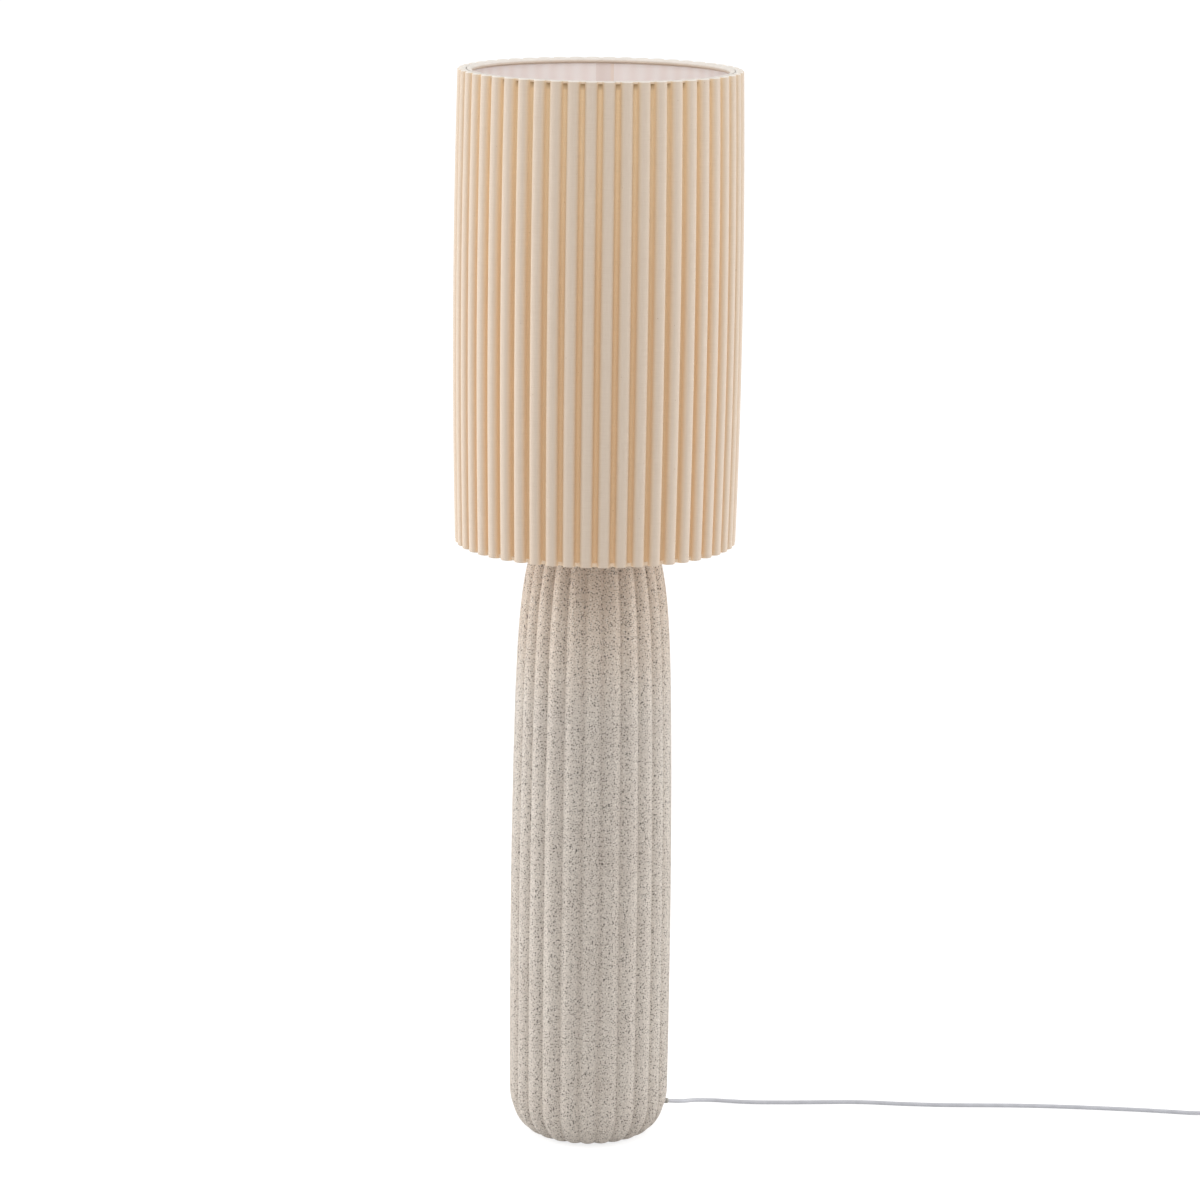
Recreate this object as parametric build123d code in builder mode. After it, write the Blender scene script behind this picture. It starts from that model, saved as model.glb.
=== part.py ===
from build123d import *
import math
import os

# Floor lamp: a fluted stoneware base under a tall pleated drum shade, with an E27
# lampholder, a bulb, and a mains cord that carries a foot switch and a plug.
# Millimetres, +Z up, origin on the floor under the middle of the base.

os.makedirs("parts", exist_ok=True)

# Stoneware body, measured from its own foot upwards
body_height = 830.0
belly_r = 101.75
belly_z = 250.0
foot_r = 62.0
foot_taper = 1.5
corner_rise = 55.0
top_r = 30.0
shoulder_taper = 11.5
shoulder_power = 9.0
flutes = 24
flute_depth = 4.0
body_wall = 8.0
floor_wall = 11.0
top_wall = 9.0
inner_corner_r = 40.0
hand_hole_r = 38.0

# Bottom board and felt
felt_proud = 1.0
felt_thick = 2.0
felt_margin = 8.0
board_thick = 4.0
board_ledge = 7.0
fit_gap = 0.3
thread_gap = 0.05

# Fittings on top of the body
nipple_r = 5.0
nipple_bore_r = 3.7
nipple_tail = 4.0
nipple_grip = 8.0
cap_margin = 3.0
cap_thick = 2.5
cap_boss_r = 9.0
cap_boss_height = 8.0
washer_r = 18.0
washer_thick = 2.0
nut_flats = 17.0
nut_thick = 6.0

# Lampholder
holder_neck_r = 8.0
holder_neck_height = 5.0
holder_r = 19.5
holder_cone_height = 8.0
holder_cap_height = 24.0
holder_wall = 2.0
spigot_depth = 4.0
skirt_height = 35.0
shell_gap = 0.85
ledge_thick = 2.0
ledge_r = 11.0
insert_gap = 0.2
insert_thick = 8.0
shell_bore_r = 13.25
shell_wall = 0.5
shell_height = 27.0
contact_height = 3.0
contact_width = 5.0
contact_strip = 0.6
terminal_r = 2.0
terminal_height = 3.0
terminal_pitch = 14.0
shade_ring_r = 28.0
shade_ring_thick = 4.0
lower_ring_rise = 9.0

# Bulb
bulb_tip_r = 4.5
bulb_tip_height = 2.0
insulator_top_r = 11.0
insulator_height = 4.0
bulb_cap_height = 21.0
bulb_cap_wall = 1.0
collar_height = 39.0
globe_r = 30.0
globe_wall = 1.2
globe_height = 43.0

# Shade
shade_drop = 106.0
shade_height = 586.0
shade_end_r = 175.0
shade_barrel = 3.8
cover_spans = 4
pleats = 50
pleat_depth = 10.0
valley_share = 0.45
cloth = 0.9
lining_thick = 0.8
seam_width = 19.0
seam_thick = 0.6
seam_inset = 7.0
wire_r = 2.0
edge_inset = 1.0
hem_depth = 6.5
hem_thick = 0.8
arm_count = 3
arm_knee_r = 44.0
arm_bend_r = 18.0
fitter_r = 33.0
fitter_play = 1.0
fitter_thick = 2.0

# Cord and its gland
cord_r = 2.6
gland_angle = 30.0
gland_drop = 12.0
gland_z = 23.0
gland_seat = 2.5
gland_wall = 7.0
gland_neck_r = 5.0
gland_flange_r = 7.5
gland_flange = 3.0
gland_reach = 26.0
gland_root_r = 4.6
gland_tip_r = 3.4
gland_ribs = 5
rib_groove = 0.7
gland_nut_flats = 15.0
gland_nut_thick = 5.0
gland_tail = 2.0
gland_pocket = 20.0
gland_lead = 20.0

# Foot switch on the cord
switch_entry_x = 850.0
switch_y = 73.4
switch_cord_z = 7.0
switch_lead = 22.0
switch_length = 72.0
switch_width = 44.0
switch_corner_r = 16.0
switch_height = 21.0
switch_wall = 2.0
switch_edge_r = 4.0
switch_foot_r = 4.0
switch_foot_thick = 1.5
switch_foot_seat = 0.5
switch_foot_inset = 22.0
switch_foot_side = 9.0
bush_length = 13.0
bush_root_r = 4.4
bush_tip_r = 3.6
bush_neck_r = 3.6
bush_ribs = 3
button_r = 13.0
button_lip = 2.0
button_lip_thick = 2.0
button_rise = 6.0
button_travel = 3.0
button_fit = 0.08
module_length = 20.0
module_width = 14.0
module_height = 10.0
plunger_r = 3.0
screw_r = 1.5
screw_head_r = 3.0
screw_head_thick = 1.6
screw_length = 12.0
boss_r = 4.0
boss_inset = 12.0
boss_side = 11.0

# Coil that stows the spare cord, and its tie
coil_inner_r = 22.0
coil_gap = 0.5
coil_layer_turns = 3
coil_lead = 36.0
coil_tail = 36.0
coil_tail_shift = 10.0
tie_width = 6.0
tie_thick = 0.6
tie_gap = 0.2
tie_slack = 0.5

# Flat two-pin plug
plug_width = 35.3
plug_thick = 13.7
plug_length = 36.0
plug_grip_width = 17.0
plug_grip_thick = 11.0
plug_edge_r = 4.0
plug_bush_length = 24.0
plug_bush_root_r = 4.6
plug_bush_tip_r = 3.4
plug_bush_ribs = 5
pin_r = 2.0
pin_length = 19.0
pin_pitch = 18.6

# Points of the cord on the floor, from where it has come down from the gland
floor_points = [
    (138.0, 87.0, 9.3), (165.0, 97.0, 5.0), (204.0, 94.2, 2.7), (250.0, 93.4, cord_r),
    (300.0, 95.6, cord_r), (354.0, 98.9, cord_r), (408.0, 92.4, cord_r), (464.0, 89.4, cord_r),
    (520.0, 91.0, cord_r), (578.0, 91.6, cord_r), (634.0, 88.4, cord_r), (690.0, 83.4, cord_r),
    (744.0, 77.6, cord_r), (796.0, 74.2, 2.8),
]

# Cord inside the body: it hangs with a slow sway, then bends out to the gland
sway_r = 7.0
sway_turn = 75.0
sway_lead = 10.0
sway_bottom = 140.0
sway_steps = 10
bend_points = [(-15.0, 86.0), (10.0, 54.0)]
bend_lead = 26.0

# Heights that follow from the sizes above
body_top = felt_proud + body_height
cap_r = top_r - cap_margin
felt_r = foot_r - felt_margin
cap_top = body_top + cap_boss_height
washer_top = body_top - top_wall
nut_top = washer_top - washer_thick
nipple_bottom = nut_top - nut_thick - nipple_tail
nipple_top = cap_top + nipple_grip
holder_split = cap_top + holder_cap_height
ledge_bottom = holder_split - spigot_depth
insert_bottom = ledge_bottom + ledge_thick
insert_top = insert_bottom + insert_thick
skirt_bore_r = shell_bore_r + shell_wall + shell_gap
skirt_top = holder_split + skirt_height
contact_top = insert_top + contact_height
bulb_seat = contact_top + thread_gap
lower_ring_bottom = holder_split + lower_ring_rise
fitter_bottom = lower_ring_bottom + shade_ring_thick + thread_gap
upper_ring_bottom = fitter_bottom + fitter_thick + thread_gap
shade_bottom = fitter_bottom - shade_drop
shade_top = shade_bottom + shade_height
bulb_cap_r = shell_bore_r - thread_gap
collar_bottom = bulb_seat + bulb_tip_height + insulator_height + bulb_cap_height
collar_top = collar_bottom + collar_height
globe_top = collar_top + globe_height
globe_z = globe_top - globe_r
collar_r = math.sqrt(globe_r**2 - (globe_z - collar_top) ** 2)

# Radii of the shade, from the pleats inwards
valley_r = shade_end_r - pleat_depth - cloth
lining_r = valley_r - fit_gap - lining_thick
ring_r = lining_r - wire_r - fit_gap / 3
hem_r = ring_r - wire_r - fit_gap / 3 - hem_thick
ring_inset = edge_inset + wire_r
fitter_bore_r = holder_r + fitter_play
coil_pitch = 2 * cord_r + coil_gap


def shoulder_radius(side_r, end_r, share):
    """Radius of the shoulder, outside or in the cavity, from the belly to the flat top."""
    end_share = end_r / (side_r - shoulder_taper)
    return (side_r - shoulder_taper * share**2) * math.sqrt(1 - (1 - end_share**2) * share**shoulder_power)


def crest_radius(z):
    """Radius over the flute crests at a height above the foot."""
    if z > belly_z:
        return shoulder_radius(belly_r, top_r, (z - belly_z) / (body_height - belly_z))
    side_r = belly_r - foot_taper * (1 - z / belly_z) ** 2
    if z > corner_rise:
        return side_r
    return foot_r + (side_r - foot_r) * math.sqrt(1 - (1 - z / corner_rise) ** 2)


def polar(radius, degrees, z=0.0):
    """Point at a radius and an angle about the lamp's axis."""
    angle = math.radians(degrees)
    return Vector(radius * math.cos(angle), radius * math.sin(angle), z)


def fluted_outline(z):
    """Ring of convex arcs that meet in grooves, which grow shallow over the shoulder."""
    crest_r = crest_radius(z)
    groove_r = crest_r - flute_depth
    if z > belly_z:
        groove_r = crest_r * (1 - flute_depth / belly_r)
    step = 360 / flutes
    for i in range(flutes):
        middle = i * step
        ThreePointArc(
            polar(groove_r, middle - step / 2), polar(crest_r, middle), polar(groove_r, middle + step / 2)
        )


def pleat_outline(crest_r, inset):
    """Ring of round pleats: crest arcs and tighter valley arcs, tangent where they meet."""
    half = 180 / pleats
    floor_r = crest_r - pleat_depth
    turn = math.cos(math.radians(half))
    a = 2 * valley_share * (turn - 1)
    b = -2 * crest_r + 2 * valley_share * floor_r - 2 * turn * valley_share * crest_r + 2 * turn * floor_r
    c = crest_r**2 + floor_r**2 - 2 * turn * crest_r * floor_r
    crest_arc = (-b - math.sqrt(b**2 - 4 * a * c)) / (2 * a)
    valley_arc = valley_share * crest_arc
    meet = (crest_arc - inset) / (crest_arc + valley_arc)
    for i in range(pleats):
        middle = 2 * half * i
        crest_centre = polar(crest_r - crest_arc, middle)
        before = crest_centre + (polar(floor_r + valley_arc, middle - half) - crest_centre) * meet
        after = crest_centre + (polar(floor_r + valley_arc, middle + half) - crest_centre) * meet
        following = polar(crest_r - crest_arc, middle + 2 * half)
        resume = following + (polar(floor_r + valley_arc, middle + half) - following) * meet
        ThreePointArc(before, polar(crest_r - inset, middle), after)
        ThreePointArc(after, polar(floor_r - inset, middle + half), resume)


def bend_radii(points):
    """Largest easy radius at each inner point of a route."""
    radii = []
    for before, here, after in zip(points, points[1:], points[2:]):
        first = Vector(*here) - Vector(*before)
        second = Vector(*after) - Vector(*here)
        turn = math.radians(first.get_angle(second))
        radii.append(0.45 * min(first.length, second.length) / math.tan(turn / 2))
    return radii


def ribbed_profile(start, length, root_r, tip_r, ribs):
    """Half outline of a tapered sleeve along X with square ring grooves near its tip."""
    pitch = length / (2 * ribs + 1)
    points = [(start, 0), (start, root_r)]
    for i in range(ribs):
        near = (2 * i + 1) * pitch
        far = near + pitch
        for along, sunk in ((near, 0), (near, rib_groove), (far, rib_groove), (far, 0)):
            points.append((start + along, root_r + (tip_r - root_r) * along / length - sunk))
    points += [(start + length, tip_r), (start + length, 0)]
    return points


def biarc(start, start_way, end, end_way):
    """Two tangent arcs from one point and direction to another."""
    span = end - start
    a = 2 * start_way.dot(end_way) - 2
    b = -2 * span.dot(start_way + end_way)
    reach = 2 * span.dot(span) / (-b + math.sqrt(b**2 - 4 * a * span.dot(span)))
    first = start + start_way * reach
    second = end - end_way * reach
    joint = (first + second) * 0.5
    TangentArc(start, joint, tangent=start_way)
    TangentArc(joint, end, tangent=second - first)


# Stoneware body: fluted sections from the foot over the belly to the flat top
corner_steps = [corner_rise * (1 - math.cos(math.radians(t))) for t in (0, 22.5, 45, 67.5, 90)]
side_steps = [corner_rise + (belly_z - corner_rise) * share for share in (0.15, 0.36, 0.64, 1)]
shoulder_shares = (0.2, 0.4, 0.56, 0.69, 0.79, 0.87, 0.93, 0.97, 1)
shoulder_steps = [belly_z + (body_height - belly_z) * share for share in shoulder_shares]
inner_wall_r = belly_r - flute_depth - body_wall
inner_floor = felt_proud + floor_wall
inner_top = body_top - top_wall
inner_top_r = top_r - body_wall
gland_way = Vector(1, 0, 0).rotate(Axis.Y, gland_drop).rotate(Axis.Z, gland_angle)
gland_mouth = polar(crest_radius(gland_z - felt_proud), gland_angle, gland_z)
gland_plane = Plane(origin=gland_mouth, x_dir=gland_way, z_dir=gland_way.cross(Vector(0, 0, 1)))
gland_face = Plane(origin=gland_mouth - gland_way * gland_seat, z_dir=gland_way)
gland_back = Plane(origin=gland_mouth - gland_way * (gland_seat + gland_wall), z_dir=gland_way)

with BuildPart() as base_body:
    for z in corner_steps + side_steps + shoulder_steps:
        with BuildSketch(Plane.XY.offset(felt_proud + z)):
            with BuildLine():
                fluted_outline(z)
            make_face()
    loft()
    with BuildSketch(Plane.XZ):
        with BuildLine():
            shoulder_z = felt_proud + belly_z
            rise = inner_top - shoulder_z
            curve = [
                (shoulder_radius(inner_wall_r, inner_top_r, share), shoulder_z + rise * share)
                for share in (0, *shoulder_shares)
            ]
            Line((0, inner_floor), (inner_wall_r - inner_corner_r, inner_floor))
            TangentArc(
                (inner_wall_r - inner_corner_r, inner_floor),
                (inner_wall_r, inner_floor + inner_corner_r),
                tangent=(1, 0),
            )
            Line((inner_wall_r, inner_floor + inner_corner_r), curve[0])
            Spline(curve, tangents=[(0, 1), (-1, 0)])
            Polyline(curve[-1], (0, inner_top), (0, inner_floor))
        make_face()
    revolve(axis=Axis.Z, mode=Mode.SUBTRACT)
    with BuildSketch(Plane.XY.offset(felt_proud)):
        Circle(felt_r + fit_gap)
    extrude(amount=felt_thick - felt_proud, mode=Mode.SUBTRACT)
    with BuildSketch(Plane.XY.offset(felt_thick)):
        Circle(hand_hole_r + board_ledge)
    extrude(amount=board_thick + fit_gap, mode=Mode.SUBTRACT)
    with BuildSketch(Plane.XY):
        Circle(hand_hole_r)
    extrude(amount=inner_floor, mode=Mode.SUBTRACT)
    with BuildSketch(Plane.XY.offset(inner_top)):
        Circle(nipple_r + fit_gap)
    extrude(amount=top_wall, mode=Mode.SUBTRACT)
    with BuildSketch(gland_face):
        Circle(gland_flange_r + fit_gap)
    extrude(amount=gland_reach, mode=Mode.SUBTRACT)
    with BuildSketch(gland_back):
        Circle(gland_neck_r + fit_gap)
    extrude(amount=gland_wall, mode=Mode.SUBTRACT)
    with BuildSketch(gland_back):
        Circle(gland_nut_flats / math.sqrt(3) + fit_gap)
    extrude(amount=-gland_pocket, mode=Mode.SUBTRACT)

# Board that closes the hand hole, and the felt under it
with BuildPart() as bottom_board:
    with BuildSketch(Plane.XY.offset(felt_thick)):
        Circle(hand_hole_r + board_ledge - fit_gap)
    extrude(amount=board_thick)
    chamfer(bottom_board.edges().group_by(Axis.Z)[-1], length=board_thick / 8)

with BuildPart() as felt_pad:
    with BuildSketch():
        Circle(felt_r)
    extrude(amount=felt_thick)

# Strain relief through the wall, and the nut that holds it inside
with BuildPart() as cord_gland:
    with BuildSketch(gland_plane):
        with BuildLine():
            flange_front = gland_flange - gland_seat
            neck_start = -gland_seat - gland_wall - gland_nut_thick - gland_tail
            sleeve_length = gland_reach - flange_front
            sleeve = ribbed_profile(flange_front, sleeve_length, gland_root_r, gland_tip_r, gland_ribs)
            Polyline(
                (neck_start, 0), (neck_start, gland_neck_r), (-gland_seat, gland_neck_r),
                (-gland_seat, gland_flange_r), (flange_front, gland_flange_r), *sleeve[1:],
                close=True,
            )
        make_face()
    revolve(axis=Axis(gland_mouth, gland_way))

with BuildPart() as gland_nut:
    with BuildSketch(gland_back):
        RegularPolygon(gland_nut_flats / 2, 6, major_radius=False)
        Circle(gland_neck_r + thread_gap, mode=Mode.SUBTRACT)
    extrude(amount=-gland_nut_thick)

# Fittings that clamp the lampholder to the top of the body
with BuildPart() as top_cap:
    with BuildSketch(Plane.XZ):
        with BuildLine():
            Polyline(
                (nipple_r + thread_gap, body_top), (cap_r, body_top), (cap_r, body_top + cap_thick / 2),
                (cap_r - cap_thick, body_top + cap_thick), (cap_boss_r + cap_thick, body_top + cap_thick),
                (cap_boss_r, body_top + 2 * cap_thick), (cap_boss_r, cap_top),
                (nipple_r + thread_gap, cap_top),
                close=True,
            )
        make_face()
    revolve(axis=Axis.Z)

with BuildPart() as lamp_nipple:
    with BuildSketch(Plane.XY.offset(nipple_bottom)):
        Circle(nipple_r)
        Circle(nipple_bore_r, mode=Mode.SUBTRACT)
    extrude(amount=nipple_top - nipple_bottom)
    chamfer(lamp_nipple.edges().filter_by(GeomType.CIRCLE).sort_by(SortBy.RADIUS)[-2:], length=0.5)

with BuildPart() as inner_washer:
    with BuildSketch(Plane.XY.offset(nut_top)):
        Circle(washer_r)
        Circle(nipple_r + fit_gap, mode=Mode.SUBTRACT)
    extrude(amount=washer_thick)

with BuildPart() as inner_nut:
    with BuildSketch(Plane.XY.offset(nut_top - nut_thick)):
        RegularPolygon(nut_flats / 2, 6, major_radius=False)
        Circle(nipple_r + thread_gap, mode=Mode.SUBTRACT)
    extrude(amount=nut_thick)

# Lampholder
with BuildPart() as holder_cap:
    with BuildSketch(Plane.XZ):
        with BuildLine():
            neck_top = cap_top + holder_neck_height
            cone_top = neck_top + holder_cone_height
            inside = cap_top + nipple_grip + holder_wall
            Polyline(
                (nipple_r + thread_gap, cap_top), (holder_neck_r, cap_top), (holder_neck_r, neck_top),
                (holder_r, cone_top), (holder_r, holder_split), (holder_r - holder_wall, holder_split),
                (holder_r - holder_wall, cone_top + holder_wall), (holder_neck_r, inside),
                (nipple_r + thread_gap, inside),
                close=True,
            )
        make_face()
    revolve(axis=Axis.Z)

with BuildPart() as holder_skirt:
    with BuildSketch(Plane.XZ):
        with BuildLine():
            spigot_r = holder_r - holder_wall - insert_gap
            Polyline(
                (ledge_r, ledge_bottom), (spigot_r, ledge_bottom), (spigot_r, holder_split),
                (holder_r, holder_split), (holder_r, skirt_top - holder_wall / 2),
                (holder_r - holder_wall / 2, skirt_top), (skirt_bore_r, skirt_top),
                (skirt_bore_r, insert_bottom), (ledge_r, insert_bottom),
                close=True,
            )
        make_face()
    revolve(axis=Axis.Z)

with BuildPart() as holder_insert:
    with BuildSketch(Plane.XY.offset(insert_bottom)):
        Circle(skirt_bore_r - insert_gap)
    extrude(amount=insert_thick)

with BuildPart() as screw_shell:
    with BuildSketch(Plane.XY.offset(insert_top)):
        Circle(shell_bore_r + shell_wall)
        Circle(shell_bore_r, mode=Mode.SUBTRACT)
    extrude(amount=shell_height)

with BuildPart() as centre_contact:
    with BuildSketch(Plane.XZ.offset(-contact_width / 2)):
        with BuildLine():
            Polyline(
                (-2 * contact_height, insert_top), (contact_height, insert_top),
                (contact_height, contact_top), (-contact_height, contact_top),
                (-contact_height, contact_top - contact_strip),
                (contact_height - contact_strip, contact_top - contact_strip),
                (contact_height - contact_strip, insert_top + contact_strip),
                (-2 * contact_height, insert_top + contact_strip),
                close=True,
            )
        make_face()
    extrude(amount=contact_width)

with BuildPart() as terminal_screws:
    with BuildSketch(Plane.XY.offset(insert_bottom - terminal_height)):
        with GridLocations(terminal_pitch, 0, 2, 1):
            Circle(terminal_r)
    extrude(amount=terminal_height)
    with BuildSketch(Plane.XY.offset(insert_bottom - terminal_height)):
        with GridLocations(terminal_pitch, 0, 2, 1):
            Rectangle(2 * terminal_r, terminal_r / 3)
    extrude(amount=terminal_height / 4, mode=Mode.SUBTRACT)


def shade_ring_outline(z, lip):
    """Half section of a shade ring, thicker at its grip, with the flat face on one side."""
    flat, back = (z + shade_ring_thick, z) if lip > 0 else (z, z + shade_ring_thick)
    Polyline(
        (holder_r + thread_gap, flat), (shade_ring_r, flat), (shade_ring_r, (flat + back) / 2),
        (shade_ring_r - shade_ring_thick / 2, back), (holder_r + thread_gap, back),
        close=True,
    )


with BuildPart() as lower_shade_ring:
    with BuildSketch(Plane.XZ):
        with BuildLine():
            shade_ring_outline(lower_ring_bottom, 1)
        make_face()
    revolve(axis=Axis.Z)

with BuildPart() as upper_shade_ring:
    with BuildSketch(Plane.XZ):
        with BuildLine():
            shade_ring_outline(upper_ring_bottom, -1)
        make_face()
    revolve(axis=Axis.Z)

# Bulb
with BuildPart() as bulb_contact:
    with BuildSketch(Plane.XY.offset(bulb_seat)):
        Circle(bulb_tip_r)
    extrude(amount=bulb_tip_height)
    fillet(bulb_contact.edges().group_by(Axis.Z)[0], radius=bulb_tip_height / 2)

with BuildPart() as bulb_insulator:
    with BuildSketch(Plane.XY.offset(bulb_seat + bulb_tip_height)):
        Circle(bulb_tip_r + bulb_cap_wall)
    with BuildSketch(Plane.XY.offset(bulb_seat + bulb_tip_height + insulator_height)):
        Circle(insulator_top_r)
    loft()

with BuildPart() as bulb_cap:
    with BuildSketch(Plane.XZ):
        with BuildLine():
            cap_foot = bulb_seat + bulb_tip_height + insulator_height
            Polyline(
                (0, cap_foot), (insulator_top_r, cap_foot), (bulb_cap_r, cap_foot + 2 * bulb_cap_wall),
                (bulb_cap_r, collar_bottom), (bulb_cap_r - bulb_cap_wall, collar_bottom),
                (bulb_cap_r - bulb_cap_wall, cap_foot + 3 * bulb_cap_wall), (0, cap_foot + bulb_cap_wall),
                close=True,
            )
        make_face()
    revolve(axis=Axis.Z)

with BuildPart() as bulb_collar:
    with BuildSketch(Plane.XZ):
        with BuildLine():
            Polyline((0, collar_top), (0, collar_bottom), (bulb_cap_r, collar_bottom))
            TangentArc((collar_r, collar_top), (bulb_cap_r, collar_bottom), tangent=(0, -1))
            Line((collar_r, collar_top), (0, collar_top))
        make_face()
    revolve(axis=Axis.Z)

with BuildPart() as bulb_globe:
    with BuildSketch(Plane.XZ):
        with BuildLine():
            bore_r = globe_r - globe_wall
            rim_r = math.sqrt(bore_r**2 - (globe_z - collar_top) ** 2)
            ThreePointArc((collar_r, collar_top), (globe_r, globe_z), (0, globe_top))
            Line((0, globe_top), (0, globe_z + bore_r))
            ThreePointArc((0, globe_z + bore_r), (bore_r, globe_z), (rim_r, collar_top))
            Line((rim_r, collar_top), (collar_r, collar_top))
        make_face()
    revolve(axis=Axis.Z)

# Shade: pleated cloth, lining, wire frame and hems
with BuildPart() as pleated_cover:
    for i in range(cover_spans + 1):
        share = i / cover_spans
        crest_r = shade_end_r + shade_barrel * (1 - (2 * share - 1) ** 2)
        with BuildSketch(Plane.XY.offset(shade_bottom + shade_height * share)):
            with BuildLine():
                pleat_outline(crest_r, 0)
            make_face()
            with BuildLine():
                pleat_outline(crest_r, cloth)
            make_face(mode=Mode.SUBTRACT)
    loft(ruled=True)

with BuildPart() as shade_lining:
    with BuildSketch(Plane.XY.offset(shade_bottom + edge_inset)):
        Circle(lining_r + lining_thick)
        Circle(lining_r, mode=Mode.SUBTRACT)
    extrude(amount=shade_height - 2 * edge_inset)
    with BuildSketch(Plane.XY.offset(shade_bottom + seam_inset)):
        with BuildLine():
            half_angle = math.degrees(seam_width / lining_r) / 2
            CenterArc((0, 0), lining_r, 90 - half_angle, 2 * half_angle)
            CenterArc((0, 0), lining_r - seam_thick, 90 - half_angle, 2 * half_angle)
            Line(polar(lining_r, 90 - half_angle), polar(lining_r - seam_thick, 90 - half_angle))
            Line(polar(lining_r, 90 + half_angle), polar(lining_r - seam_thick, 90 + half_angle))
        make_face()
    extrude(amount=shade_height - 2 * seam_inset)

with BuildPart() as shade_carrier:
    with BuildSketch(Plane.XZ):
        with Locations((ring_r, shade_bottom + ring_inset)):
            Circle(wire_r)
    revolve(axis=Axis.Z)
    with BuildSketch(Plane.XY.offset(fitter_bottom)):
        Circle(fitter_r)
        Circle(fitter_bore_r, mode=Mode.SUBTRACT)
    extrude(amount=fitter_thick)
    fitter_middle = fitter_bottom + fitter_thick / 2
    for i in range(arm_count):
        way = 90 + 360 / arm_count * i
        knee = polar(arm_knee_r, way, fitter_middle)
        outer = polar(ring_r, way, shade_bottom + ring_inset)
        with BuildLine() as arm_line:
            FilletPolyline(outer, knee, polar(fitter_r - wire_r, way, fitter_middle), radius=arm_bend_r)
        with BuildSketch(Plane(origin=outer, z_dir=knee - outer)):
            Circle(wire_r)
        sweep(path=arm_line.line)

with BuildPart() as top_ring:
    with BuildSketch(Plane.XZ):
        with Locations((ring_r, shade_top - ring_inset)):
            Circle(wire_r)
    revolve(axis=Axis.Z)


def hem_outline(edge, way):
    """Half section of a hem: a leg inside the ring and a lip over the edge of the lining."""
    lip = edge + way * hem_thick
    leg = edge + way * hem_depth
    lip_r = lining_r + lining_thick
    Polyline(
        (hem_r, edge), (lip_r, edge), (lip_r, lip),
        (hem_r + hem_thick, lip), (hem_r + hem_thick, leg), (hem_r, leg),
        close=True,
    )


with BuildPart() as bottom_hem:
    with BuildSketch(Plane.XZ):
        with BuildLine():
            hem_outline(shade_bottom, 1)
        make_face()
    revolve(axis=Axis.Z)
    with BuildSketch(Plane.XY.offset(shade_bottom + hem_thick)):
        with PolarLocations(hem_r, arm_count, start_angle=90):
            Rectangle(4 * hem_thick, 2 * (wire_r + fit_gap))
    extrude(amount=hem_depth, mode=Mode.SUBTRACT)

with BuildPart() as top_hem:
    with BuildSketch(Plane.XZ):
        with BuildLine():
            hem_outline(shade_top, -1)
        make_face()
    revolve(axis=Axis.Z)

# Cord inside the body, from the lampholder to the gland
gland_inside = gland_mouth + gland_way * neck_start
sway_top = nipple_bottom - sway_lead
sway_step = (sway_top - sway_bottom) / sway_steps
inner_route = [Vector(0, 0, insert_bottom), Vector(0, 0, sway_top)]
inner_route += [polar(sway_r, sway_turn * i, sway_top - sway_step * i) for i in range(1, sway_steps + 1)]
inner_route += [polar(r, gland_angle, z) for r, z in bend_points]
inner_route += [gland_inside - gland_way * bend_lead, gland_inside]
with BuildPart() as inner_cord:
    with BuildLine() as inner_line:
        FilletPolyline(*inner_route, radius=bend_radii(inner_route))
    with BuildSketch(Plane.XY.offset(insert_bottom)):
        Circle(cord_r)
    sweep(path=inner_line.line)

# Cord from the gland along the floor to the foot switch
gland_tip = gland_mouth + gland_way * gland_reach
switch_entry = Vector(switch_entry_x, switch_y, switch_cord_z)
run_route = [gland_tip, gland_tip + gland_way * gland_lead]
run_route += [Vector(*point) for point in floor_points]
run_route += [switch_entry - Vector(switch_lead, 0, 0), switch_entry]
with BuildPart() as cord_run:
    with BuildLine() as run_line:
        FilletPolyline(*run_route, radius=bend_radii(run_route))
    with BuildSketch(Plane(origin=gland_tip, z_dir=gland_way)):
        Circle(cord_r)
    sweep(path=run_line.line)

# Foot switch: a tray and a cover that meet on the cord's line, clamped by two screws
switch_x = switch_entry_x + bush_length + switch_length / 2
switch_exit_x = switch_entry_x + 2 * bush_length + switch_length
tray_bottom = switch_foot_thick - switch_foot_seat
tray_floor = tray_bottom + switch_wall
cover_top = tray_bottom + switch_height
tray_plane = Plane(origin=(switch_x, switch_y, tray_bottom))
split_plane = Plane(origin=(switch_x, switch_y, switch_cord_z))
end_plane = Plane(origin=(switch_x, switch_y, switch_cord_z), x_dir=(0, 1, 0), z_dir=(1, 0, 0))
boss_x = switch_length / 2 - boss_inset
boss_y = switch_width / 2 - boss_side
boss_spots = [(boss_x, boss_y), (-boss_x, -boss_y)]
foot_span = switch_length - 2 * switch_foot_inset
foot_pitch = switch_width - 2 * switch_foot_side
clear_length = switch_length - 2 * switch_wall
clear_width = switch_width - 2 * switch_wall

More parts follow.
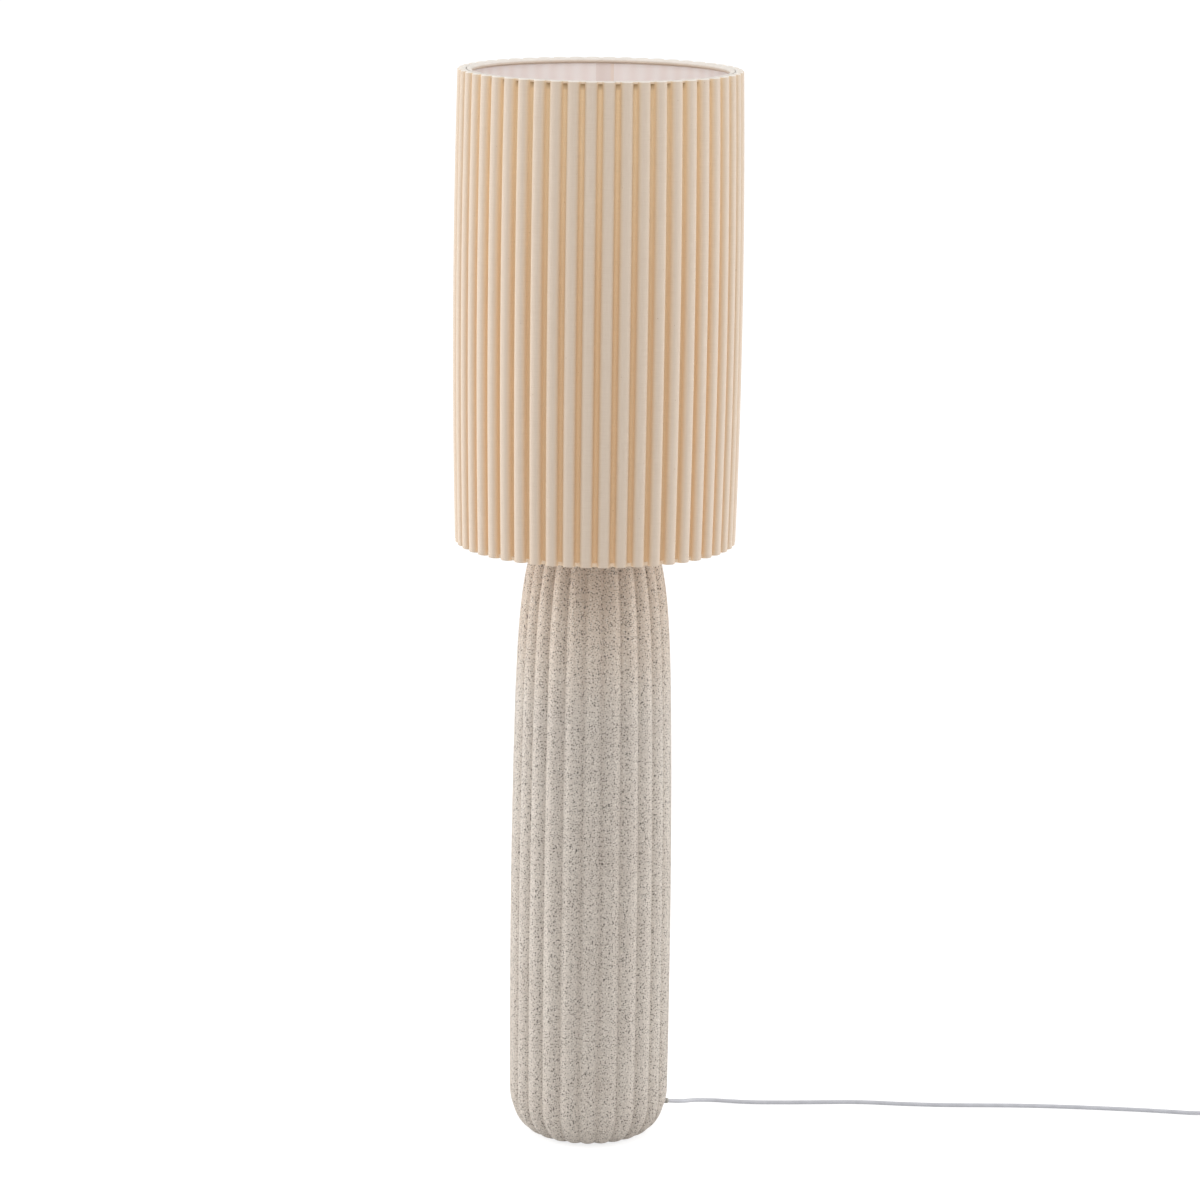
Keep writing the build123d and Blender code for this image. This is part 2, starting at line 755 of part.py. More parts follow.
with BuildPart() as switch_base:
    with BuildSketch(tray_plane):
        RectangleRounded(switch_length, switch_width, switch_corner_r)
    extrude(amount=switch_cord_z - tray_bottom)
    with BuildSketch(tray_plane.offset(switch_wall)):
        RectangleRounded(clear_length, clear_width, switch_corner_r - switch_wall)
    extrude(amount=switch_cord_z - tray_floor, mode=Mode.SUBTRACT)
    with BuildSketch(tray_plane):
        with Locations(*boss_spots):
            Circle(boss_r)
    extrude(amount=switch_cord_z - tray_bottom)
    with BuildSketch(tray_plane):
        with Locations(*boss_spots):
            Circle(screw_r + insert_gap)
    extrude(amount=switch_cord_z - tray_bottom, mode=Mode.SUBTRACT)
    with BuildSketch(tray_plane):
        with Locations(*boss_spots):
            Circle(screw_head_r + insert_gap)
        with GridLocations(foot_span, foot_pitch, 2, 2):
            Circle(switch_foot_r + insert_gap)
    extrude(amount=switch_foot_seat, mode=Mode.SUBTRACT)
    with BuildSketch(tray_plane):
        with Locations(*boss_spots):
            Circle(screw_head_r + insert_gap)
    extrude(amount=screw_head_thick, mode=Mode.SUBTRACT)
    with BuildSketch(end_plane):
        Circle(bush_neck_r + thread_gap)
    extrude(amount=switch_length, both=True, mode=Mode.SUBTRACT)
    with BuildSketch(end_plane):
        Circle(bush_root_r + insert_gap)
    extrude(amount=clear_length / 2, both=True, mode=Mode.SUBTRACT)

with BuildPart() as switch_cover:
    with BuildSketch(split_plane):
        RectangleRounded(switch_length, switch_width, switch_corner_r)
    extrude(amount=cover_top - switch_cord_z)
    fillet(switch_cover.edges().group_by(Axis.Z)[-1], radius=switch_edge_r)
    with BuildSketch(split_plane):
        RectangleRounded(clear_length, clear_width, switch_corner_r - switch_wall)
    extrude(amount=cover_top - switch_wall - switch_cord_z, mode=Mode.SUBTRACT)
    with BuildSketch(split_plane):
        with Locations(*boss_spots):
            Circle(boss_r)
    extrude(amount=cover_top - switch_wall - switch_cord_z)
    with BuildSketch(split_plane):
        with Locations(*boss_spots):
            Circle(screw_r + thread_gap)
    extrude(amount=screw_length, mode=Mode.SUBTRACT)
    with BuildSketch(split_plane):
        Circle(button_r + button_fit)
    extrude(amount=cover_top, mode=Mode.SUBTRACT)
    with BuildSketch(end_plane):
        Circle(bush_neck_r + thread_gap)
    extrude(amount=switch_length, both=True, mode=Mode.SUBTRACT)

lip_top = cover_top - switch_wall - insert_gap
lip_bottom = lip_top - button_lip_thick
with BuildPart() as switch_button:
    with BuildSketch(Plane(origin=(switch_x, switch_y, lip_bottom))):
        Circle(button_r + button_lip)
    extrude(amount=button_lip_thick)
    with BuildSketch(Plane(origin=(switch_x, switch_y, lip_top))):
        Circle(button_r)
    extrude(amount=cover_top + button_rise - lip_top)
    fillet(switch_button.edges().group_by(Axis.Z)[-1], radius=button_rise / 3)

module_top = tray_floor + module_height
plunger_seat = module_top - 2 * button_travel
with BuildPart() as switch_module:
    with BuildSketch(tray_plane.offset(switch_wall)):
        Rectangle(module_length, module_width)
    extrude(amount=module_height)
    with BuildSketch(Plane(origin=(switch_x, switch_y, plunger_seat))):
        Circle(plunger_r + button_fit)
    extrude(amount=module_height, mode=Mode.SUBTRACT)

with BuildPart() as switch_plunger:
    with BuildSketch(Plane(origin=(switch_x, switch_y, plunger_seat + button_travel))):
        Circle(plunger_r)
    extrude(amount=lip_bottom - plunger_seat - button_travel)

with BuildPart() as switch_screws:
    with BuildSketch(tray_plane):
        with Locations(*boss_spots):
            Circle(screw_head_r)
    extrude(amount=screw_head_thick)
    with BuildSketch(tray_plane):
        with Locations(*boss_spots):
            Circle(screw_r)
    extrude(amount=screw_length + screw_head_thick)
    with BuildSketch(tray_plane):
        with Locations(*boss_spots):
            Rectangle(2 * screw_head_r, screw_head_r / 4)
    extrude(amount=screw_head_thick / 2, mode=Mode.SUBTRACT)

with BuildPart() as switch_feet:
    with BuildSketch(Plane(origin=(switch_x, switch_y, 0))):
        with GridLocations(foot_span, foot_pitch, 2, 2):
            Circle(switch_foot_r)
    extrude(amount=switch_foot_thick)

with BuildPart() as switch_bushes:
    for way in (-1, 1):
        bush_root = Vector(switch_x + way * switch_length / 2, switch_y, switch_cord_z)
        bush_plane = Plane(origin=bush_root, x_dir=(way, 0, 0), z_dir=(0, -1, 0))
        with BuildSketch(bush_plane):
            with BuildLine():
                Polyline(
                    (-2 * switch_wall, 0), (-2 * switch_wall, bush_root_r), (-switch_wall, bush_root_r),
                    (-switch_wall, bush_neck_r), (0, bush_neck_r),
                    *ribbed_profile(0, bush_length, bush_root_r, bush_tip_r, bush_ribs)[1:],
                    close=True,
                )
            make_face()
        revolve(axis=Axis(bush_root, (way, 0, 0)))

# Cord from the switch to the coil of spare cord
coil_z = tie_thick + tie_gap + cord_r
coil_r = coil_inner_r + coil_pitch * coil_layer_turns
coil_start = Vector(switch_exit_x + coil_lead, switch_y, coil_z)
lead_start = Vector(switch_exit_x, switch_y, switch_cord_z)
lead_end = coil_start - Vector(2 * cord_r, 0, 0)
ahead = Vector(1, 0, 0)
with BuildPart() as plug_lead:
    with BuildLine() as lead_line:
        biarc(lead_start, ahead, lead_end, ahead)
    with BuildSketch(Plane(origin=lead_start, z_dir=ahead)):
        Circle(cord_r)
    sweep(path=lead_line.line)


def coil_point(turns):
    """Centre of the coiled cord after a number of turns: spiral in, climb, spiral out."""
    radius = coil_inner_r + coil_pitch * abs(turns - coil_layer_turns)
    climb = min(1, max(0, 2 * (turns - coil_layer_turns) + 0.5))
    rise = coil_pitch * (1 - math.cos(math.pi * climb)) / 2
    return coil_start + Vector(0, coil_r, rise) + polar(radius, 360 * turns - 90)


def coil_way(turns):
    """Heading of the coiled cord after a number of turns."""
    if turns in (0, 2 * coil_layer_turns):
        return ahead
    ahead_point = coil_point(turns + 0.01)
    behind_point = coil_point(turns - 0.01)
    return (ahead_point - behind_point).normalized()


plug_z = plug_thick / 2
coil_end = coil_point(2 * coil_layer_turns)
tail_end = Vector(coil_end.X + coil_tail, coil_end.Y - coil_tail_shift, plug_z)
cord_end = tail_end + ahead * (2 * cord_r)
with BuildPart() as cord_coil:
    with BuildLine() as coil_line:
        Line(lead_end, coil_start)
        for i in range(8 * coil_layer_turns):
            biarc(coil_point(i / 4), coil_way(i / 4), coil_point((i + 1) / 4), coil_way((i + 1) / 4))
        biarc(coil_end, ahead, tail_end, ahead)
        Line(tail_end, cord_end)
    with BuildSketch(Plane(origin=lead_end, z_dir=ahead)):
        Circle(cord_r)
    sweep(path=coil_line.line)

# Tie round the coil, on its far side
tie_inner = coil_inner_r + coil_pitch / 2 - cord_r - tie_slack
tie_outer = coil_r - coil_pitch / 2 + cord_r + tie_slack
tie_height = coil_pitch + 2 * (cord_r + tie_gap)
with BuildPart() as coil_tie:
    tie_centre = coil_start + Vector(-tie_width / 2, coil_r + (tie_inner + tie_outer) / 2, coil_pitch / 2)
    with BuildSketch(Plane(origin=tie_centre, x_dir=(0, 1, 0), z_dir=(1, 0, 0))):
        bore = RectangleRounded(tie_outer - tie_inner, tie_height, cord_r, mode=Mode.PRIVATE)
        add(bore)
        offset(amount=tie_thick)
        add(bore, mode=Mode.SUBTRACT)
    extrude(amount=tie_width)

# Plug
with BuildPart() as plug_bush:
    bush_plane = Plane(origin=cord_end + ahead * plug_bush_length, x_dir=(-1, 0, 0), z_dir=(0, 1, 0))
    with BuildSketch(bush_plane):
        with BuildLine():
            bush = ribbed_profile(0, plug_bush_length, plug_bush_root_r, plug_bush_tip_r, plug_bush_ribs)
            Polyline(*bush, close=True)
        make_face()
    revolve(axis=Axis(cord_end, ahead))

plug_back = cord_end + ahead * plug_bush_length
plug_front = plug_back + ahead * plug_length
with BuildPart() as plug_body:
    with BuildSketch(Plane(origin=plug_back, x_dir=(0, 1, 0), z_dir=ahead)):
        RectangleRounded(plug_grip_width, plug_grip_thick, plug_edge_r)
    with BuildSketch(Plane(origin=plug_front, x_dir=(0, 1, 0), z_dir=ahead)):
        RectangleRounded(plug_width, plug_thick, plug_edge_r)
    loft()

with BuildPart() as plug_pins:
    with BuildSketch(Plane(origin=plug_front, x_dir=(0, 1, 0), z_dir=ahead)):
        with GridLocations(pin_pitch, 0, 2, 1):
            Circle(pin_r)
    extrude(amount=pin_length)
    chamfer(plug_pins.edges().group_by(Axis.X)[-1], length=pin_r / 2)


def self_gap(line):
    """Least space between parts of a tube's path that are not neighbours along it."""
    count = int(line.length / cord_r)
    points = [line.position_at(i / count) for i in range(count + 1)]
    least = line.length
    for i, first in enumerate(points):
        for second in points[i + 10 :]:
            least = min(least, (second - first).length)
    return least - 2 * cord_r


for name, line, solid in (
    ("inner cord", inner_line.wire(), inner_cord.part),
    ("cord run", run_line.wire(), cord_run.part),
    ("plug lead", lead_line.wire(), plug_lead.part),
    ("coil", coil_line.wire(), cord_coil.part),
):
    swept = math.pi * cord_r**2 * line.length
    print(f"{name}: {line.length:.0f} mm long, volume over section x length {solid.volume / swept:.4f}")
for name, route in (("inner cord", inner_route), ("cord run", run_route)):
    print(f"{name} radii:", " ".join(f"{radius:.0f}" for radius in bend_radii(route)))
print(f"coil: least self gap {self_gap(coil_line.wire()):.2f} mm")

pieces = {
    "base_body": base_body, "bottom_board": bottom_board, "felt_pad": felt_pad, "cord_gland": cord_gland,
    "gland_nut": gland_nut, "top_cap": top_cap, "lamp_nipple": lamp_nipple, "inner_washer": inner_washer,
    "inner_nut": inner_nut, "holder_cap": holder_cap, "holder_skirt": holder_skirt,
    "holder_insert": holder_insert, "screw_shell": screw_shell, "centre_contact": centre_contact,
    "terminal_screws": terminal_screws, "lower_shade_ring": lower_shade_ring,
    "upper_shade_ring": upper_shade_ring, "bulb_contact": bulb_contact, "bulb_insulator": bulb_insulator,
    "bulb_cap": bulb_cap, "bulb_collar": bulb_collar, "bulb_globe": bulb_globe,
    "pleated_cover": pleated_cover, "shade_lining": shade_lining, "shade_carrier": shade_carrier,
    "top_ring": top_ring, "bottom_hem": bottom_hem, "top_hem": top_hem, "inner_cord": inner_cord,
    "cord_run": cord_run, "switch_base": switch_base, "switch_cover": switch_cover,
    "switch_button": switch_button, "switch_module": switch_module, "switch_plunger": switch_plunger,
    "switch_screws": switch_screws, "switch_feet": switch_feet, "switch_bushes": switch_bushes,
    "plug_lead": plug_lead, "cord_coil": cord_coil, "coil_tie": coil_tie, "plug_bush": plug_bush,
    "plug_body": plug_body, "plug_pins": plug_pins,
}
for name, piece in pieces.items():
    piece.part.label = name
    export_step(piece.part, f"parts/{name}.step")
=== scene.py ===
"""Dress a floor lamp around its solids: fluted stoneware, pleated linen shade, fittings and cord."""

import logging
import math
from collections.abc import Iterable
from dataclasses import dataclass
from enum import Enum

import bmesh
import bpy
from mathutils import Matrix, Vector


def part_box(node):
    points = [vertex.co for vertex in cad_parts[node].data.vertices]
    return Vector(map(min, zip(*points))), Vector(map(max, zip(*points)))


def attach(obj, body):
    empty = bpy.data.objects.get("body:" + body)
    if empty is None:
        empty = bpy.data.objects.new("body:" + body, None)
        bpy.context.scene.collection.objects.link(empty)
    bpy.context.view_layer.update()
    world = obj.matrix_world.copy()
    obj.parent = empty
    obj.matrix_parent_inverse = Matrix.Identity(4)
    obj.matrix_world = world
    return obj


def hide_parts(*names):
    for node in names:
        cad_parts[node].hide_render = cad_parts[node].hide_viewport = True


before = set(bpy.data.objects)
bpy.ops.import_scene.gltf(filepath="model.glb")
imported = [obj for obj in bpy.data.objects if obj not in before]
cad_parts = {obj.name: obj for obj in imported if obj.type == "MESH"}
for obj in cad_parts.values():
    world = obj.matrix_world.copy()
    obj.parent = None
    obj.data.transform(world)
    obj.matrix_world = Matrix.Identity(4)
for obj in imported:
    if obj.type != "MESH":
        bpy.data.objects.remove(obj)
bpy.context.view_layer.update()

MM = 0.001
FULL_TURN = 2.0 * math.pi
ARC_STEPS = 8

Colour = tuple[int, int, int]
Point = tuple[float, float, float]
Spot = tuple[float, float]
Socket = bpy.types.NodeSocket

log = logging.getLogger("floor_lamp")


class Body(Enum):
    """Moving bodies of the lamp."""

    BASE = "base"
    SHADE = "shade"
    BULB = "bulb"


class Calc(Enum):
    """Sums that a finish works out on the surface."""

    ADD = "ADD"
    MULTIPLY = "MULTIPLY"
    MAXIMUM = "MAXIMUM"
    SINE = "SINE"
    COSINE = "COSINE"
    ARCTAN2 = "ARCTAN2"


class End(Enum):
    """Ends of the shade, with the way that points out of each."""

    BOTTOM = -1.0
    TOP = 1.0


def display(colour: Colour) -> tuple[float, float, float, float]:
    """Turn a display colour into the linear one that a shader takes.

    Args:
        colour: Red, green and blue from 0 to 255.

    Returns:
        Linear red, green, blue and a full alpha.
    """
    parts = [part / 255.0 for part in colour]
    linear = [part / 12.92 if part <= 0.04045 else ((part + 0.055) / 1.055) ** 2.4 for part in parts]
    return (*linear, 1.0)


def shares(steps: int) -> list[float]:
    """Return even shares from 0 to 1."""
    return [step / steps for step in range(steps + 1)]


def ease(start: float, end: float, value: float) -> float:
    """Ease from 0 at start to 1 at end.

    Args:
        start: Value where the step begins.
        end: Value where the step is complete.
        value: Value to place on the step.

    Returns:
        Share of the step, flat at both ends.
    """
    share = min(1.0, max(0.0, (value - start) / (end - start)))
    return share * share * (3.0 - 2.0 * share)


@dataclass(frozen=True)
class Specks:
    """Small round specks.

    spacing and the largest radius are in metres, strength is the share of their colour that shows, smallest
    is the least radius as a share of the largest, and core is the share of each speck that is solid.
    """

    spacing: float
    radius: float
    strength: float
    colour: Colour
    smallest: float = 0.4
    core: float = 0.7


class Graph:
    """Nodes of one finish, or of the room's light."""

    def __init__(self, tree: bpy.types.NodeTree) -> None:
        """Start from the nodes that a tree already has."""
        self.nodes = tree.nodes
        self.links = tree.links

    def feed(self, socket: Socket, value: object) -> None:
        """Join a socket to another one, or set its own value.

        Args:
            socket: Input that takes the value.
            value: Output socket to join, display colour, or plain value.
        """
        if isinstance(value, Socket):
            self.links.new(value, socket)
        elif socket.type == "RGBA":
            socket.default_value = display(value)
        else:
            socket.default_value = value

    def add(
        self, kind: str, settings: dict[str, object], inputs: dict[str | int, object]
    ) -> bpy.types.Node:
        """Add one node.

        Args:
            kind: Node type, without its ShaderNode prefix.
            settings: Properties of the node.
            inputs: Values or sockets for its inputs.

        Returns:
            The new node.
        """
        node = self.nodes.new("ShaderNode" + kind)
        for name, value in settings.items():
            setattr(node, name, value)
        for name, value in inputs.items():
            self.feed(node.inputs[name], value)
        return node

    def place(self) -> Socket:
        """Return the surface point in the lamp's own frame."""
        return self.add("TexCoord", {}, {}).outputs["Object"]

    def cloth_place(self) -> Socket:
        """Return the point on the flat cloth, in metres."""
        return self.add("TexCoord", {}, {}).outputs["UV"]

    def stretch(self, place: Socket, scale: Point) -> Socket:
        """Return a point scaled along each axis."""
        return self.add("Mapping", {}, {"Vector": place, "Scale": scale}).outputs["Vector"]

    def split(self, place: Socket) -> bpy.types.Node:
        """Return a node with a point's X, Y and Z."""
        return self.add("SeparateXYZ", {}, {"Vector": place})

    def stored(self, name: str) -> Socket:
        """Return a number that the mesh stores at each point."""
        return self.add("Attribute", {"attribute_name": name}, {}).outputs["Fac"]

    def calc(self, sum_kind: Calc, first: object, second: object = 0.0) -> Socket:
        """Return the result of one sum."""
        return self.add("Math", {"operation": sum_kind.value}, {0: first, 1: second}).outputs[0]

    def noise(self, place: Socket, scale: float, detail: float = 2.0) -> Socket:
        """Return soft noise from about 0.25 to 0.75."""
        inputs = {"Vector": place, "Scale": scale, "Detail": detail}
        return self.add("TexNoise", {}, inputs).outputs["Fac"]

    def spread(
        self, value: Socket, low: float, high: float, start: float = 0.3, end: float = 0.7
    ) -> Socket:
        """Spread a value over a new range.

        Args:
            value: Socket that is spread.
            low: Result at start.
            high: Result at end.
            start: Value that gives low.
            end: Value that gives high.

        Returns:
            The spread value, held between low and high.
        """
        inputs = {"Value": value, "From Min": start, "From Max": end, "To Min": low, "To Max": high}
        return self.add("MapRange", {}, inputs).outputs["Result"]

    def mix(self, share: object, first: object, second: object) -> Socket:
        """Mix two colours.

        Args:
            share: Share of the second colour.
            first: Display colour or socket.
            second: Display colour or socket.

        Returns:
            The mixed colour.
        """
        node = self.add("Mix", {"data_type": "RGBA"}, {0: share})
        colours = [socket for socket in node.inputs if socket.type == "RGBA"]
        self.feed(colours[0], first)
        self.feed(colours[1], second)
        return next(socket for socket in node.outputs if socket.type == "RGBA")

    def speckle(self, place: Socket, ground: Socket, specks: Specks) -> Socket:
        """Scatter specks of uneven size over a colour.

        Args:
            place: Surface point in metres.
            ground: Colour between the specks.
            specks: What is scattered.

        Returns:
            The speckled colour.
        """
        cells = self.add("TexVoronoi", {"feature": "F1"}, {"Vector": place, "Scale": 1.0 / specks.spacing})
        chance = self.split(cells.outputs["Color"]).outputs["X"]
        largest = specks.radius / specks.spacing
        size = self.spread(chance, specks.smallest * largest, largest, 0.0, 1.0)
        inner = self.calc(Calc.MULTIPLY, size, specks.core)
        inputs = {"Value": cells.outputs["Distance"], "From Min": inner, "From Max": size,
                  "To Min": 1.0, "To Max": 0.0}
        mask = self.add("MapRange", {}, inputs).outputs["Result"]
        return self.mix(self.calc(Calc.MULTIPLY, mask, specks.strength), ground, specks.colour)

    def seen(self) -> Socket:
        """Tell what shows from what only lights the lamp.

        Returns:
            1 for what shows, straight or through a gloss or glass, and 0 for the rest.
        """
        path = self.add("LightPath", {}, {}).outputs
        shown = path["Is Camera Ray"]
        for name in ("Is Glossy Ray", "Is Transmission Ray"):
            shown = self.calc(Calc.MAXIMUM, shown, path[name])
        return shown

    def round_axis(self, wave: Calc, place: Socket, count: float) -> Socket:
        """Run a wave round the lamp's axis.

        Args:
            wave: Sine or cosine.
            place: Surface point.
            count: Number of waves in a full turn.

        Returns:
            The wave, from -1 to 1.
        """
        axes = self.split(place).outputs
        turn = self.calc(Calc.ARCTAN2, axes["Y"], axes["X"])
        return self.calc(wave, self.calc(Calc.MULTIPLY, turn, count))

    def bump(self, height: Socket, depth: float, strength: float = 1.0) -> Socket:
        """Return a normal bent by a height of that depth in metres."""
        inputs = {"Height": height, "Distance": depth, "Strength": strength}
        return self.add("Bump", {}, inputs).outputs["Normal"]

    def surface(self, inputs: dict[str, object]) -> None:
        """Set or join the principled shader's own sockets."""
        for name, value in inputs.items():
            self.feed(self.nodes["Principled BSDF"].inputs[name], value)


@dataclass(frozen=True)
class Finish:
    """A surface finish, with its main colour as it shows."""

    name: str
    colour: Colour

    def material(self) -> bpy.types.Material:
        """Return the finish's material, painted the first time it is asked for."""
        made = bpy.data.materials.get(self.name)
        if made is None:
            made = bpy.data.materials.new(self.name)
            made.use_nodes = True
            self.paint(Graph(made.node_tree))
        return made

    def dimmed(self, share: float) -> Colour:
        """Return the main colour, dimmed to that share."""
        return tuple(round(share * part) for part in self.colour)

    def paint(self, graph: Graph) -> None:
        """Paint the finish on an empty material."""
        raise NotImplementedError


@dataclass(frozen=True)
class Stoneware(Finish):
    """Matt speckled stoneware with a cloudy body."""

    warm: Colour
    # The next colour and its span are painted bounce light: a warm tint that the linen shade throws onto
    # the shoulder.
    linen_bounce: Colour
    linen_bounce_span: tuple[float, float]
    layers: tuple[Specks, ...]

    def paint(self, graph: Graph) -> None:
        """Paint clouds, painted bounce light from the shade towards the shoulder, the layers of specks and
        a dry grain.
        """
        place = graph.place()
        clouds = graph.noise(place, 18.0, 4.0)
        clay = graph.mix(graph.spread(clouds, 0.0, 1.0), self.colour, self.warm)
        height = graph.split(place).outputs["Z"]
        # Painted bounce light: the shoulder warms towards the linen shade above it.
        clay = graph.mix(graph.spread(height, 0.0, 0.7, *self.linen_bounce_span), clay, self.linen_bounce)
        for specks in self.layers:
            clay = graph.speckle(place, clay, specks)
        grain = graph.noise(place, 900.0, 3.0)
        graph.surface({
            "Base Color": clay,
            "Roughness": graph.spread(clouds, 0.58, 0.72),
            "Specular IOR Level": 0.35,
            "Normal": graph.bump(grain, 0.12 * MM, 0.6),
        })


@dataclass(frozen=True)
class Linen(Finish):
    """Woven linen-look cloth, with painted shade in the folds that is lighter towards the top."""

    # Painted shade in the folds, lower down and towards the top.
    fold: Colour
    high_fold: Colour
    strip: Colour
    # Painted shade in the folds under the top strip.
    pocket_shade: Colour
    # Painted highlight along the top edge.
    edge: Colour
    flecks: Specks
    thread: float

    def paint(self, graph: Graph) -> None:
        """Paint shade into the folds, the uneven threads, the ends with painted shade under the top strip
        and a painted highlight on the top edge, a few flecks and the weave.
        """
        flat = graph.cloth_place()
        slow, quick = 40.0, 1400.0
        across = graph.noise(graph.stretch(flat, (slow, quick, 1.0)), 1.0, 2.0)
        along = graph.noise(graph.stretch(flat, (quick, slow, 1.0)), 1.0, 2.0)
        slub = graph.spread(graph.calc(Calc.ADD, across, along), 0.0, 1.0, 0.7, 1.3)
        # Painted shade in the folds, lighter towards the top of the shade.
        depth = graph.spread(graph.stored("fold"), 0.0, 1.0, 0.04, 0.7)
        fold = graph.mix(graph.stored("rise"), self.fold, self.high_fold)
        cloth = graph.mix(depth, self.colour, fold)
        cloth = graph.mix(graph.spread(slub, 0.0, 0.12, 0.0, 1.0), cloth, self.flecks.colour)
        # strip is the pale bridging band, pocket paints shade into the folds under the top strip, and edge
        # paints a highlight along the top edge.
        for name, tone in (("strip", self.strip), ("pocket_shade", self.pocket_shade), ("edge", self.edge)):
            cloth = graph.mix(graph.stored(name), cloth, tone)
        cloth = graph.speckle(flat, cloth, self.flecks)
        step = FULL_TURN / (2.0 * self.thread)
        axes = graph.split(flat).outputs
        warp, weft = (graph.calc(Calc.SINE, graph.calc(Calc.MULTIPLY, axes[axis], step)) for axis in "XY")
        weave = graph.calc(Calc.MULTIPLY, warp, weft)
        rough = graph.calc(Calc.ADD, weave, graph.calc(Calc.MULTIPLY, slub, 1.5))
        graph.surface({
            "Base Color": cloth,
            "Roughness": graph.spread(slub, 0.78, 0.92, 0.0, 1.0),
            "Specular IOR Level": 0.25,
            "Sheen Weight": 0.04,
            "Sheen Roughness": 0.5,
            "Normal": graph.bump(rough, 0.10 * MM, 0.35),
        })


@dataclass(frozen=True)
class Lining(Finish):
    """Stiff white laminate with the painted light and shade of the pleats showing through it as a faint
    band behind each pleat.
    """

    # Lighter tone of the painted light that the pleats let through.
    pleat_light_through: Colour
    glue: Colour
    pleats: int

    def paint(self, graph: Graph) -> None:
        """Paint the pleats' light and shade showing through as bands round the axis, the glued edge of the
        lap and a fine laminate grain.
        """
        place = graph.place()
        # Painted light and shade of the pleats, seen through the laminate.
        wave = graph.round_axis(Calc.COSINE, place, float(self.pleats))
        clouds = graph.noise(place, 60.0, 3.0)
        share = graph.calc(Calc.ADD, wave, graph.calc(Calc.MULTIPLY, clouds, 1.2))
        sheet = graph.mix(graph.spread(share, 0.0, 1.0, -0.6, 1.8), self.colour, self.pleat_light_through)
        grain = graph.noise(place, 1500.0, 1.0)
        graph.surface({
            "Base Color": graph.mix(graph.stored("lap"), sheet, self.glue),
            "Roughness": graph.spread(grain, 0.5, 0.66),
            "Specular IOR Level": 0.3,
            "Normal": graph.bump(grain, 0.03 * MM, 0.4),
        })


@dataclass(frozen=True)
class Tape(Finish):
    """Woven edge tape with ribs across it."""

    shade: Colour
    # Tone of the turned-in leg: partly the tan of the turned-in cloth, partly painted shade under the fold.
    under: Colour
    ribs: float

    def paint(self, graph: Graph) -> None:
        """Paint ribs round the axis, a worn, uneven colour and a deeper tone on the turned-in leg, partly
        the tan of the turned-in cloth and partly painted shade under the fold.
        """
        place = graph.place()
        ribs = graph.round_axis(Calc.SINE, place, self.ribs)
        clouds = graph.noise(place, 90.0, 3.0)
        share = graph.calc(Calc.ADD, graph.calc(Calc.MULTIPLY, ribs, 0.2), clouds)
        tape = graph.mix(graph.spread(share, 0.0, 1.0), self.colour, self.shade)
        # Deeper tone on the turned-in leg, partly painted shade under the fold.
        turned_in = graph.calc(Calc.MULTIPLY, graph.stored("under"), graph.spread(share, 0.8, 1.0))
        graph.surface({
            "Base Color": graph.mix(turned_in, tape, self.under),
            "Roughness": graph.spread(clouds, 0.8, 0.95),
            "Specular IOR Level": 0.2,
            "Normal": graph.bump(ribs, 0.06 * MM, 0.5),
        })


@dataclass(frozen=True)
class Moulding(Finish):
    """Moulded plastic or rubber with a fine spark-eroded grain."""

    roughness: float
    grain: float = 1200.0

    def paint(self, graph: Graph) -> None:
        """Paint a slightly uneven colour, gloss and grain."""
        place = graph.place()
        clouds = graph.noise(place, 70.0, 3.0)
        grain = graph.noise(place, self.grain, 2.0)
        graph.surface({
            "Base Color": graph.mix(graph.spread(clouds, 0.0, 1.0), self.colour, self.dimmed(0.94)),
            "Roughness": graph.spread(grain, self.roughness - 0.06, self.roughness + 0.06),
            "Specular IOR Level": 0.45,
            "Normal": graph.bump(grain, 0.04 * MM, 0.5),
        })


@dataclass(frozen=True)
class Metal(Finish):
    """Plated or turned metal with fine turning marks."""

    roughness: float

    def paint(self, graph: Graph) -> None:
        """Paint turning marks that run round the axis, and a dulled tone."""
        place = graph.place()
        marks = graph.noise(graph.stretch(place, (60.0, 60.0, 2600.0)), 1.0, 2.0)
        clouds = graph.noise(place, 120.0, 3.0)
        graph.surface({
            "Base Color": graph.mix(graph.spread(clouds, 0.0, 1.0), self.colour, self.dimmed(0.82)),
            "Metallic": 1.0,
            "Roughness": graph.spread(marks, self.roughness - 0.08, self.roughness + 0.1),
            "Normal": graph.bump(marks, 0.02 * MM, 0.5),
        })


@dataclass(frozen=True)
class Opal(Finish):
    """Glass, flashed white or dark, with a soft gloss."""

    roughness: float
    glow: float

    def paint(self, graph: Graph) -> None:
        """Paint a faintly uneven glass that scatters light."""
        clouds = graph.noise(graph.place(), 45.0, 2.0)
        graph.surface({
            "Base Color": graph.mix(graph.spread(clouds, 0.0, 1.0), self.colour, self.dimmed(0.96)),
            "Roughness": graph.spread(clouds, self.roughness, self.roughness + 0.08),
            "Subsurface Weight": self.glow,
            "Subsurface Scale": 4.0 * MM,
            "Coat Weight": 0.3,
            "Coat Roughness": 0.1,
        })


@dataclass(frozen=True)
class Fibre(Finish):
    """Pressed fibre: felt, or the board above it."""

    light: Colour
    scale: float
    nap: float

    def paint(self, graph: Graph) -> None:
        """Paint matted fibres of two tones with a nap."""
        fibres = graph.noise(graph.stretch(graph.place(), (1.0, 2.2, 1.0)), self.scale, 5.0)
        graph.surface({
            "Base Color": graph.mix(graph.spread(fibres, 0.0, 1.0), self.colour, self.light),
            "Roughness": graph.spread(fibres, 0.86, 0.98),
            "Specular IOR Level": 0.15,
            "Normal": graph.bump(fibres, self.nap, 0.8),
        })


